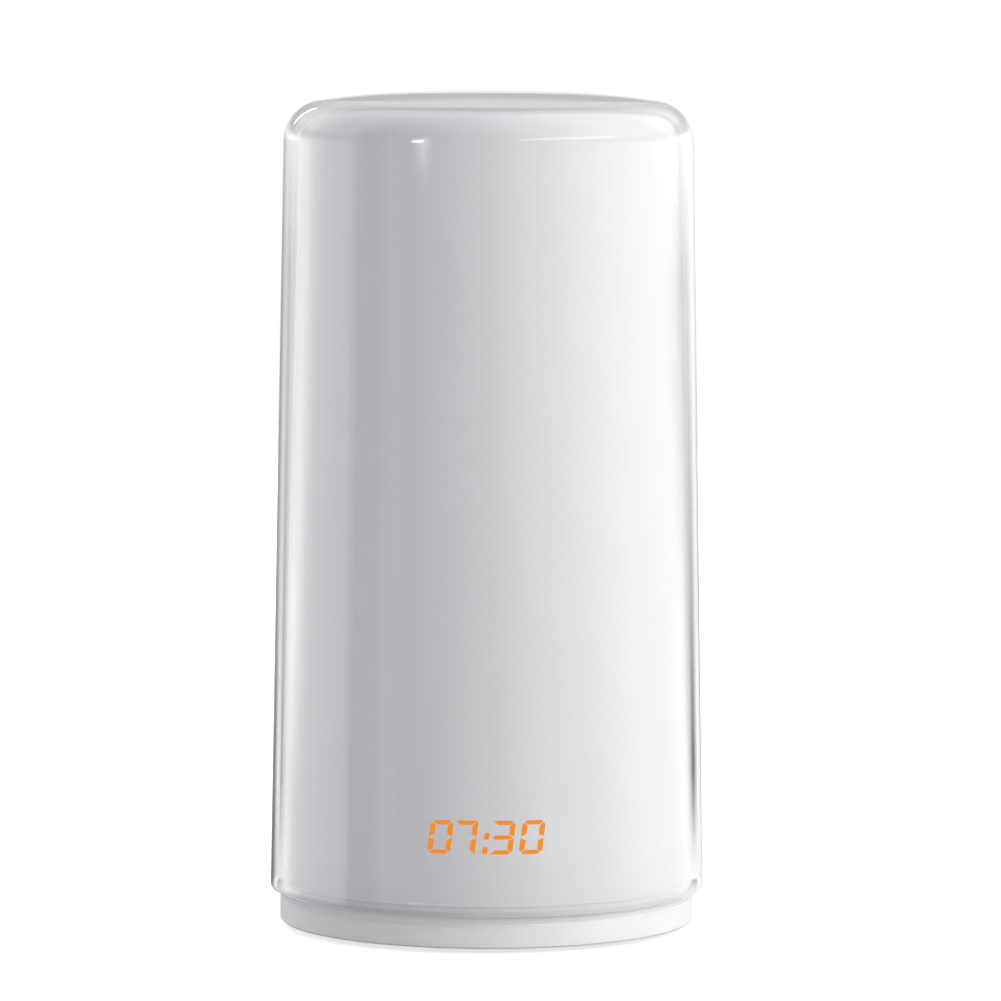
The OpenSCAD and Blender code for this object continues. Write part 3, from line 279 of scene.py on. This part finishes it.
def clearAcrylic():  # injection-moulded and polished: water clear, its sharp highlights waver a little; its lower edge casts a painted shadow
    made, tree, coords = newMaterial("clearAcrylic")
    wave = addNode(tree, "ShaderNodeTexNoise", {
        "Vector": coords, "Scale": 1 / (acrylic["waveLength"] * mm), "Detail": 1.0})
    skin = addNode(tree, "ShaderNodeBump", {
        "Height": wave.outputs[0], "Strength": 0.2, "Distance": acrylic["waveDepth"] * mm})
    glass = addNode(tree, "ShaderNodeBsdfPrincipled", {
        "Base Color": linear("#fdfdfd"), "Roughness": 0.0, "IOR": 1.49, "Transmission Weight": 1.0,
        "Normal": skin.outputs[0]})
    height = addNode(tree, "ShaderNodeSeparateXYZ", {0: coords}).outputs["Z"]
    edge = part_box("outer_shell")[0].z
    start, end = edge + acrylic["rimStart"] * mm, edge + acrylic["rimEnd"] * mm
    # light that passes near the lower edge is darkened: a painted shadow on the ring under the shell
    paintedShadowBand = addNode(tree, "ShaderNodeMapRange", {"Value": height, "From Min": start, "From Max": end})
    passed = addNode(tree, "ShaderNodeMix", {
        0: paintedShadowBand.outputs[0], 6: linear(acrylic["rimShade"]), 7: linear("#fcfcfd")}, data_type="RGBA")
    through = addNode(tree, "ShaderNodeBsdfTransparent", {"Color": passed.outputs[2]})
    path = addNode(tree, "ShaderNodeLightPath").outputs
    soft = addNode(tree, "ShaderNodeMath", {0: path["Is Shadow Ray"], 1: path["Is Diffuse Ray"]},
                   operation="MAXIMUM")
    trapped = addNode(tree, "ShaderNodeMath", {0: path["Glossy Depth"], 1: acrylic["mirrorings"] + 0.5},
                      operation="GREATER_THAN")
    free = addNode(tree, "ShaderNodeMath", {0: soft.outputs[0], 1: trapped.outputs[0]}, operation="MAXIMUM")
    mixed = addNode(tree, "ShaderNodeMixShader", {
        0: free.outputs[0], 1: glass.outputs[0], 2: through.outputs[0]})
    addNode(tree, "ShaderNodeOutputMaterial", {"Surface": mixed.outputs[0]})
    return made


def coat(tree, share, shade, colour, height, strength, depthMm, sockets):  # two colours and a raised skin
    tint = addNode(tree, "ShaderNodeMix", {0: share, 6: linear(shade), 7: linear(colour)}, data_type="RGBA")
    skin = addNode(tree, "ShaderNodeBump", {
        "Height": height, "Strength": strength, "Distance": depthMm * mm})
    body = addNode(tree, "ShaderNodeBsdfPrincipled", {
        "Base Color": tint.outputs[2], "Normal": skin.outputs[0], **sockets})
    addNode(tree, "ShaderNodeOutputMaterial", {"Surface": body.outputs[0]})


def grained(name, colour, shade, roughness, grainMm, depthMm, **more):  # an even body with a fine grain
    made, tree, coords = newMaterial(name)
    grain = addNode(tree, "ShaderNodeTexNoise", {
        "Vector": coords, "Scale": 1 / (grainMm * mm), "Detail": 3.0, "Roughness": 0.6}).outputs[0]
    clouds = addNode(tree, "ShaderNodeTexNoise", {"Vector": coords, "Scale": 1 / (16 * mm), "Detail": 2.0})
    gloss = addNode(tree, "ShaderNodeMapRange", {
        "Value": grain, "From Min": 0.3, "From Max": 0.7,
        "To Min": roughness * 0.85, "To Max": roughness * 1.15}).outputs[0]
    coat(tree, clouds.outputs[0], shade, colour, grain, 0.5, depthMm, {"Roughness": gloss, **more})
    return made


def orangeLight():  # a light pipe with an orange source behind it: even, a little hotter in places
    made, tree, coords = newMaterial("orangeLightPipe")
    haze = addNode(tree, "ShaderNodeTexNoise", {"Vector": coords, "Scale": 1 / (1.6 * mm), "Detail": 1.0})
    tint = addNode(tree, "ShaderNodeMix", {0: haze.outputs[0], 6: linear("#ff8a00"), 7: linear("#f99600")},
                   data_type="RGBA")
    body = addNode(tree, "ShaderNodeBsdfPrincipled", {
        "Base Color": linear("#140800"), "Roughness": 0.5, "Specular IOR Level": 0.0,
        "Emission Color": tint.outputs[2], "Emission Strength": 0.98})
    addNode(tree, "ShaderNodeOutputMaterial", {"Surface": body.outputs[0]})
    return made


def drawnMetal(name, colour, shade, roughness, alongMm, acrossMm, spangle=0.0):  # fine lines along Z
    made, tree, coords = newMaterial(name)
    stretch = (1 / (acrossMm * mm), 1 / (acrossMm * mm), 1 / (alongMm * mm))
    drawn = addNode(tree, "ShaderNodeVectorMath", {0: coords, 1: stretch}, operation="MULTIPLY")
    lines = addNode(tree, "ShaderNodeTexNoise", {
        "Vector": drawn.outputs[0], "Scale": 1.0, "Detail": 3.0}).outputs[0]
    crystals = addNode(tree, "ShaderNodeTexVoronoi", {"Vector": coords, "Scale": 1 / (1.4 * mm)})
    share = addNode(tree, "ShaderNodeMath", {0: crystals.outputs["Color"], 1: spangle}, operation="MULTIPLY")
    share = addNode(tree, "ShaderNodeMath", {0: share.outputs[0], 1: lines}, operation="ADD")
    gloss = addNode(tree, "ShaderNodeMapRange", {
        "Value": lines, "From Min": 0.3, "From Max": 0.7,
        "To Min": roughness * 0.8, "To Max": roughness * 1.2}).outputs[0]
    coat(tree, share.outputs[0], shade, colour, lines, 0.4, 0.004, {"Roughness": gloss, "Metallic": 1.0})
    return made


def solderMask():  # green lacquer over copper: tracks stand a little proud and show paler
    made, tree, coords = newMaterial("greenSolderMask")
    levels = []
    for way in ("X", "Y"):
        wave = addNode(tree, "ShaderNodeTexWave", {"Vector": coords, "Scale": 0.32 / (2.2 * mm)},
                       wave_type="BANDS", bands_direction=way)
        line = addNode(tree, "ShaderNodeMath", {0: wave.outputs[1], 1: 0.72}, operation="GREATER_THAN")
        levels.append(line.outputs[0])
    areas = addNode(tree, "ShaderNodeTexNoise", {"Vector": coords, "Scale": 1 / (9 * mm), "Detail": 0.0})
    side = addNode(tree, "ShaderNodeMath", {0: areas.outputs[0], 1: 0.5}, operation="GREATER_THAN")
    track = addNode(tree, "ShaderNodeMix", {0: side.outputs[0], 2: levels[0], 3: levels[1]},
                    data_type="FLOAT").outputs[0]
    coat(tree, track, "#0b4a22", "#1c7038", track, 0.6, 0.03, {"Roughness": 0.28})
    return made


def cellular(name, colour, shade, roughness, sizeMm, depthMm):  # pores of foam, or a magnet's grains
    made, tree, coords = newMaterial(name)
    cells = addNode(tree, "ShaderNodeTexVoronoi", {"Vector": coords, "Scale": 1 / (sizeMm * mm)})
    deep = cells.outputs["Distance"]
    coat(tree, deep, colour, shade, deep, 0.7, depthMm, {"Roughness": roughness})
    return made


finishes = {  # by the material slots of the record
    "clear_acrylic": clearAcrylic(),
    # opal acrylic, polished: an even milky white under a clean sheen
    "opal_acrylic": grained("opalAcrylic", "#eeeef0", "#ececee", 0.1, 9.0, 0.0015, IOR=1.49),
    "lit_display": orangeLight(),
    # ABS from a smooth mould: broad, soft highlights and no grain to see
    "white_abs": grained("whiteAbs", "#f4f4f6", "#f2f2f4", 0.55, 2.0, 0.0008, IOR=1.53),
    # ABS from a spark-eroded mould: a fine, even sand
    "pale_abs": grained("sparkErodedAbs", "#dddde0", "#d6d6d9", 0.5, 0.35, 0.02, IOR=1.53),
    # the same, finer: satin to eye and finger
    "key_abs": grained("satinAbs", "#e0e0e3", "#dadadd", 0.42, 0.5, 0.006, IOR=1.53),
    # moulded silicone: dull and slightly uneven
    "silicone_rubber": grained("paleSilicone", "#d2d2d5", "#c6c6ca", 0.6, 0.4, 0.02),
    # plated steel: bright lines with faint crystals of zinc
    "zinc_steel": drawnMetal("zincPlatedSteel", "#d3d4d6", "#b4b5b9", 0.3, 2.0, 0.2, 0.4),
    # moulded nylon: near black, with a low sheen
    "black_nylon": grained("blackNylon", "#1b1b1d", "#151516", 0.45, 0.3, 0.01),
    "circuit_board": solderMask(),
    # pressed from rolled brass: the rolling lines show through the plating
    "brass": drawnMetal("platedBrass", "#d6b265", "#bd9447", 0.28, 1.5, 0.25),
    # extruded: long lines run up the column
    "aluminium": drawnMetal("extrudedAluminium", "#cfd1d4", "#b7b9bd", 0.34, 12.0, 0.25),
    # coated film: smooth, warm white
    "white_laminate": grained("whitePolyimide", "#e8e5dc", "#dedace", 0.4, 1.2, 0.004),
    # cast resin with phosphor in it: yellow and nearly wet
    "led_resin": grained("phosphorResin", "#f2dc85", "#e9cb62", 0.22, 0.2, 0.004),
    # uncoloured nylon, moulded: warm white, with a low sheen
    "white_nylon": grained("whiteNylon", "#e8e6df", "#dfdcd3", 0.45, 0.4, 0.008),
    # painted pressed steel: dark, with a slight orange peel
    "speaker_steel": grained("blackPaintedSteel", "#37383a", "#2c2d2f", 0.35, 0.5, 0.006),
    "ferrite": cellular("sinteredFerrite", "#3c3d41", "#2c2d30", 0.55, 0.3, 0.01),
    # pressed paper pulp: no shine, and a fibrous skin
    "paper_cone": grained("pressedPaper", "#232221", "#171616", 0.85, 0.5, 0.05),
    "foam_gasket": cellular("blackFoam", "#2a2a2b", "#101011", 0.95, 0.5, 0.15),
    # extruded vinyl: smooth, with a soft shine along the wire
    "red_lead": grained("redWireVinyl", "#b3241c", "#9c1c16", 0.35, 0.6, 0.004),
    "black_lead": grained("blackWireVinyl", "#1c1c1d", "#131314", 0.35, 0.6, 0.004),
}
print("materials done")

# pieces


def place(name, mesh, body, slotName, *replaced):
    piece = bpy.data.objects.new(name, mesh)
    bpy.context.scene.collection.objects.link(piece)
    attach(piece, body)
    for node in replaced:
        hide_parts(node)
    return piece


def newTree(name, sockets):  # a geometry tree with its named inputs, by type
    tree = bpy.data.node_groups.new(name, "GeometryNodeTree")
    for label, kind in sockets.items():
        tree.interface.new_socket(label, in_out="INPUT", socket_type="NodeSocket" + kind)
    tree.interface.new_socket("Geometry", in_out="OUTPUT", socket_type="NodeSocketGeometry")
    return tree, addNode(tree, "NodeGroupInput").outputs


def grown(name, seed, tree, values):  # runs the tree on the seed mesh and keeps the result as a plain mesh
    holder = bpy.data.objects.new(name + "Seed", seed)
    bpy.context.scene.collection.objects.link(holder)
    modifier = holder.modifiers.new(tree.name, "NODES")
    modifier.node_group = tree
    for item in tree.interface.items_tree:
        if item.in_out == "INPUT" and item.name in values:
            modifier[item.identifier] = values[item.name]
    mesh = bpy.data.meshes.new_from_object(holder.evaluated_get(bpy.context.evaluated_depsgraph_get()))
    bpy.data.objects.remove(holder)
    mesh.name = name
    return mesh


def latheTree():  # revolves an edge chain, whose x is the radius and z the height, round Z
    tree, given = newTree("lathe", {
        "Chain": "Geometry", "Rings": "Int", "Segments": "Int", "Finish": "Material"})
    around = addNode(tree, "ShaderNodeMath", {0: given["Segments"], 1: 1.0}, operation="ADD").outputs[0]
    grid = addNode(tree, "GeometryNodeMeshGrid", {"Vertices X": given["Rings"], "Vertices Y": around})
    index = addNode(tree, "GeometryNodeInputIndex").outputs[0]
    row = addNode(tree, "ShaderNodeMath", {0: index, 1: around}, operation="DIVIDE")
    row = addNode(tree, "ShaderNodeMath", {0: row.outputs[0]}, operation="FLOOR")
    column = addNode(tree, "ShaderNodeMath", {0: index, 1: around}, operation="MODULO")
    share = addNode(tree, "ShaderNodeMath", {0: column.outputs[0], 1: given["Segments"]}, operation="DIVIDE")
    angle = addNode(tree, "ShaderNodeMath", {0: share.outputs[0], 1: 2 * math.pi}, operation="MULTIPLY")
    spot = addNode(tree, "GeometryNodeInputPosition")
    sample = addNode(tree, "GeometryNodeSampleIndex", {
        "Geometry": given["Chain"], "Value": spot.outputs[0], "Index": row.outputs[0]},
        data_type="FLOAT_VECTOR")
    turned = addNode(tree, "ShaderNodeVectorRotate", {
        "Vector": sample.outputs[0], "Angle": angle.outputs[0]}, rotation_type="Z_AXIS")
    shaped = addNode(tree, "GeometryNodeSetPosition", {
        "Geometry": grid.outputs["Mesh"], "Position": turned.outputs[0]})
    closed = addNode(tree, "GeometryNodeMergeByDistance", {"Geometry": shaped.outputs[0], "Distance": weld})
    smooth = addNode(tree, "GeometryNodeSetShadeSmooth", {"Geometry": closed.outputs[0]})
    real = addNode(tree, "GeometryNodeRealizeInstances", {"Geometry": smooth.outputs[0]})
    painted = addNode(tree, "GeometryNodeSetMaterial", {
        "Geometry": real.outputs[0], "Material": given["Finish"]})
    addNode(tree, "NodeGroupOutput", {"Geometry": painted.outputs[0]})
    return tree


def revolved(name, profile, segments, sharpDegrees, finish):  # a closed profile in mm
    seed = bpy.data.meshes.new(name + "Chain")
    links = [(i, i + 1) for i in range(len(profile) - 1)]
    seed.from_pydata([(x * mm, 0, z * mm) for x, z in profile], links, [])
    mesh = grown(name, seed, latheTree(), {"Rings": len(profile), "Segments": segments, "Finish": finish})
    shape = bmesh.new()
    shape.from_mesh(mesh)
    bmesh.ops.remove_doubles(shape, verts=shape.verts, dist=weld)
    bmesh.ops.recalc_face_normals(shape, faces=shape.faces)
    shape.to_mesh(mesh)
    shape.free()
    mesh.set_sharp_from_angle(angle=math.radians(sharpDegrees))
    return mesh


def arc(x, z, radius, start, end, steps):
    angles = [math.radians(start + (end - start) * i / steps) for i in range(steps + 1)]
    return [(x + radius * math.cos(angle), z + radius * math.sin(angle)) for angle in angles]


shell = {  # mm, as the clear moulding is made
    "wall": 2.2,
    "draftDegrees": 1.0,
    "cornerRadius": 10.0,
    "crownRise": 2.3,
    "edgeRadius": 1.0,
    "grooveHeight": 2.5,  # above the lower edge, as the levels are
    "grooveHalf": 0.5,
    "grooveDepth": 0.15,
    "levels": (4, 20, 60, 110, 150),  # where its side has rings; the inside starts at the second
    "edgeSteps": 8,
    "cornerSteps": 32,
    "crownSteps": 40,
    "segments": 256,
    "sharpDegrees": 35,
}


def clearShell():
    low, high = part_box("outer_shell")
    foot, top, bottom = high.x / mm, high.z / mm, low.z / mm
    draftDegrees, draft = shell["draftDegrees"], math.radians(shell["draftDegrees"])
    wall, corner, rise, edge = shell["wall"], shell["cornerRadius"], shell["crownRise"], shell["edgeRadius"]

    def outer(z):
        return foot - (z - bottom) * math.tan(draft)

    def inner(z):
        return outer(z) - wall / math.cos(draft)

    def crown(edgeX, peak):  # falls off with the cube of the radius
        shares = [1 - i / shell["crownSteps"] for i in range(1, shell["crownSteps"] + 1)]
        return [(edgeX * share, peak - rise * share ** 3) for share in shares]

    cornerX = outer(top - rise - corner) - corner / math.cos(draft)
    slope = math.atan(3 * rise / cornerX)  # of the crown where the corner meets it
    cornerZ = top - rise - corner * math.cos(slope)
    steep = 90 - math.degrees(slope)
    levels = [bottom + level for level in shell["levels"]]
    outside = arc(foot - edge, bottom + edge, edge, -90, 0, shell["edgeSteps"])
    outside += [(outer(z), z) for z in levels]
    outside += arc(cornerX, cornerZ, corner, draftDegrees, steep, shell["cornerSteps"])
    outside += crown(cornerX + corner * math.sin(slope), top)
    inside = crown(cornerX + (corner - wall) * math.sin(slope), top - wall)[::-1]
    inside += arc(cornerX, cornerZ, corner - wall, steep, draftDegrees, shell["cornerSteps"])
    inside += [(inner(z), z) for z in levels[:0:-1]]
    for side, deep in ((1, 0), (1, 1), (-1, 1), (-1, 0)):
        z = bottom + shell["grooveHeight"] + side * shell["grooveHalf"]
        inside.append((inner(z) + deep * shell["grooveDepth"], z))
    inside.append((inner(bottom), bottom))
    mesh = revolved("clearShell", outside + inside + outside[:1], shell["segments"], shell["sharpDegrees"],
                    finishes["clear_acrylic"])
    place("clearShell", mesh, "lamp", "clear_acrylic", "outer_shell")


def rounded(shape, width):  # rounds the sharp edges of a closed form
    bmesh.ops.dissolve_limit(shape, angle_limit=math.radians(1), verts=shape.verts, edges=shape.edges)
    edges = [e for e in shape.edges if len(e.link_faces) == 2 and e.calc_face_angle() > math.radians(25)]
    bmesh.ops.bevel(shape, geom=edges, offset=width, segments=2, profile=0.6, affect="EDGES",
                    clamp_overlap=True)


rounding = {  # mm, on pieces whose edges can be seen or felt; the others keep the edges of their mouldings
    "time_button": 0.2, "alarm_button": 0.2, "plus_button": 0.2, "minus_button": 0.2, "battery_door": 0.12,
    "board_chips": 0.12, "board_connectors": 0.2, "display_leds": 0.05, "led_flex_board": 0.05,
    "display_ribbon": 0.08, "tact_switches": 0.05,
}


def dressed(node):  # a copy of the node's mesh with smooth curves, rounded edges and its finish
    given = nodes[node]
    slotName = given.data.materials[0].name
    first, *rest = node.split("_")
    name = first + "".join(word.capitalize() for word in rest)
    mesh = given.data.copy()
    mesh.name = name
    mesh.materials.clear()
    mesh.materials.append(finishes[slotName])
    if "custom_normal" in mesh.attributes:  # the import's own, which don't fit a welded mesh
        mesh.attributes.remove(mesh.attributes["custom_normal"])
    shape = bmesh.new()
    shape.from_mesh(mesh)
    bmesh.ops.remove_doubles(shape, verts=shape.verts, dist=2 * weld)
    if node in rounding:
        rounded(shape, rounding[node] * mm)
    for face in shape.faces:
        face.smooth = abs(face.normal.z) < 0.99999  # a level face stays flat beside its fillets
        face.material_index = 0
    shape.to_mesh(mesh)
    shape.free()
    mesh.set_sharp_from_angle(angle=math.radians(30))
    return place(name, mesh, given.parent.name.split(":")[1], slotName, node)


bead = {  # mm: the snap bead at the diffuser's foot
    "play": 0.2,  # between the foot and the shell
    "half": 0.6,  # of the height that is softened
    "kept": 0.15,  # share of it that still stands proud
}


def softenBead(piece):  # rounded off, it hardly shows through the shell
    low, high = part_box("outer_shell")
    middle = low.z + shell["grooveHeight"] * mm
    seat = high.x - (shell["wall"] + bead["play"]) * mm
    for vertex in piece.data.vertices:
        radius = math.hypot(vertex.co.x, vertex.co.y)
        if abs(vertex.co.z - middle) < bead["half"] * mm and radius > seat:
            vertex.co.xy *= (seat + (radius - seat) * bead["kept"]) / radius
    piece.data.update()


lights = {  # mm: surface-mounted light sources, one row up each side of the column
    "rows": 8,
    "sides": 6,
    "face": 10.4,  # from the lamp's axis to the strip that they sit on
    "low": 38.0,
    "step": 18.325,
    "length": 3.5,
    "edge": 0.12,
    "bodyShare": 0.8,  # of the thickness; the lens is the rest
    "lensShare": 0.8,  # of the width
    "warm": {"node": "warm_leds", "share": 0.25, "width": 2.8, "thick": 0.8},
    "colour": {"node": "colour_leds", "share": 0.75, "width": 3.5, "thick": 1.4},
}


def rowTree():  # sets its unit out in rows up each side of a column
    tree, given = newTree("rows", {"Unit": "Geometry", "Rows": "Int", "Sides": "Int", "Face": "Float",
                                   "Low": "Float", "Step": "Float", "Finish": "Material"})
    index = addNode(tree, "GeometryNodeInputIndex").outputs[0]
    amount = addNode(tree, "ShaderNodeMath", {0: given["Rows"], 1: given["Sides"]}, operation="MULTIPLY")
    points = addNode(tree, "GeometryNodeMeshLine", {"Count": amount.outputs[0]})
    row = addNode(tree, "ShaderNodeMath", {0: index, 1: given["Sides"]}, operation="DIVIDE")
    row = addNode(tree, "ShaderNodeMath", {0: row.outputs[0]}, operation="FLOOR")
    up = addNode(tree, "ShaderNodeMath", {0: row.outputs[0], 1: given["Step"]}, operation="MULTIPLY")
    up = addNode(tree, "ShaderNodeMath", {0: given["Low"], 1: up.outputs[0]}, operation="ADD")
    turn = addNode(tree, "ShaderNodeMath", {0: index, 1: given["Sides"]}, operation="MODULO")
    turn = addNode(tree, "ShaderNodeMath", {0: turn.outputs[0], 1: 2 * math.pi}, operation="MULTIPLY")
    turn = addNode(tree, "ShaderNodeMath", {0: turn.outputs[0], 1: given["Sides"]}, operation="DIVIDE")
    spot = addNode(tree, "ShaderNodeCombineXYZ", {0: given["Face"], 2: up.outputs[0]})
    spot = addNode(tree, "ShaderNodeVectorRotate", {"Vector": spot.outputs[0], "Angle": turn.outputs[0]},
                   rotation_type="Z_AXIS")
    moved = addNode(tree, "GeometryNodeSetPosition", {
        "Geometry": points.outputs[0], "Position": spot.outputs[0]})
    facing = addNode(tree, "ShaderNodeCombineXYZ", {2: turn.outputs[0]})
    copies = addNode(tree, "GeometryNodeInstanceOnPoints", {
        "Points": moved.outputs[0], "Instance": given["Unit"], "Rotation": facing.outputs[0]})
    real = addNode(tree, "GeometryNodeRealizeInstances", {"Geometry": copies.outputs[0]})
    part = addNode(tree, "GeometryNodeInputMaterialIndex")
    lens = addNode(tree, "FunctionNodeCompare", {2: part.outputs[0], 3: 1},
                   data_type="INT", operation="EQUAL")
    painted = addNode(tree, "GeometryNodeSetMaterial", {
        "Geometry": real.outputs[0], "Selection": lens.outputs[0], "Material": given["Finish"]})
    addNode(tree, "NodeGroupOutput", {"Geometry": painted.outputs[0]})
    return tree


def lightRows(name, values, tree):  # white packages with a domed lens of resin
    seed = bpy.data.meshes.new(name + "Unit")
    seed.materials.append(finishes["white_nylon"])
    seed.materials.append(finishes["led_resin"])
    thick, width, length = values["thick"] * mm, values["width"] * mm, lights["length"] * mm
    body, radius = thick * lights["bodyShare"], width * lights["lensShare"] / 2
    shape = bmesh.new()
    bmesh.ops.create_cube(shape, size=1.0)
    bmesh.ops.scale(shape, vec=(body, width, length), verts=shape.verts)
    bmesh.ops.translate(shape, vec=(body / 2, 0, 0), verts=shape.verts)
    rounded(shape, lights["edge"] * mm)
    dome = bmesh.ops.create_uvsphere(shape, u_segments=20, v_segments=10, radius=radius)["verts"]
    bmesh.ops.scale(shape, vec=((thick - body) / radius, 1, 1), verts=dome)
    bmesh.ops.translate(shape, vec=(body, 0, 0), verts=dome)
    for vertex in dome:
        for face in vertex.link_faces:
            face.material_index = 1
            face.smooth = True
    shape.to_mesh(seed)
    shape.free()
    mesh = grown(name, seed, tree, {
        "Rows": lights["rows"], "Sides": lights["sides"], "Face": lights["face"] * mm,
        "Low": (lights["low"] + lights["step"] * values["share"]) * mm, "Step": lights["step"] * mm,
        "Finish": finishes["led_resin"]})
    place(name, mesh, "lamp", "led_resin", values["node"])


marks = {  # mm: the raised signs on the outer ends of two keys
    "reach": 1.0,  # from the middle of a sign to its tip
    "stroke": 0.45,
    "proud": 0.25,
    "depth": 0.6,
    "edge": 0.05,
    "height": 4.8,
    "degrees": {"plus": 16.0, "minus": 30.0},  # of the keys from the rear, clockwise seen from above
}


def keyMark(key, strokes):  # a stroke is upright or level
    radius = max(math.hypot(v.co.x, v.co.y) for v in nodes[key + "_button"].data.vertices)
    shape = bmesh.new()
    for upright in strokes:
        made = bmesh.ops.create_cube(shape, size=1.0)["verts"]
        across, up = marks["reach"] * 2, marks["stroke"]
        if upright:
            across, up = up, across
        bmesh.ops.scale(shape, vec=(across * mm, marks["depth"] * mm, up * mm), verts=made)
    away = radius + (marks["proud"] - marks["depth"] / 2) * mm
    bmesh.ops.translate(shape, vec=(0, away, marks["height"] * mm), verts=shape.verts)
    turned = Quaternion((0, 0, 1), -math.radians(marks["degrees"][key])).to_matrix()
    bmesh.ops.rotate(shape, matrix=turned, verts=shape.verts)
    edges = [e for e in shape.edges if e.calc_face_angle(0) > 1]
    bmesh.ops.bevel(shape, geom=edges, offset=marks["edge"] * mm, segments=1, affect="EDGES",
                    clamp_overlap=True)
    mesh = bpy.data.meshes.new(key + "Mark")
    shape.to_mesh(mesh)
    shape.free()
    mesh.materials.append(finishes["key_abs"])
    place(key + "Mark", mesh, key + "_key", "key_abs")


clearShell()
rowsOfLights = rowTree()
lightRows("warmLights", lights["warm"], rowsOfLights)
lightRows("colourLights", lights["colour"], rowsOfLights)
for node in sorted(nodes):
    if node not in ("outer_shell", "warm_leds", "colour_leds"):
        piece = dressed(node)
        if node == "inner_diffuser":
            softenBead(piece)
keyMark("plus", (False, True))
keyMark("minus", (False,))
print("pieces done")
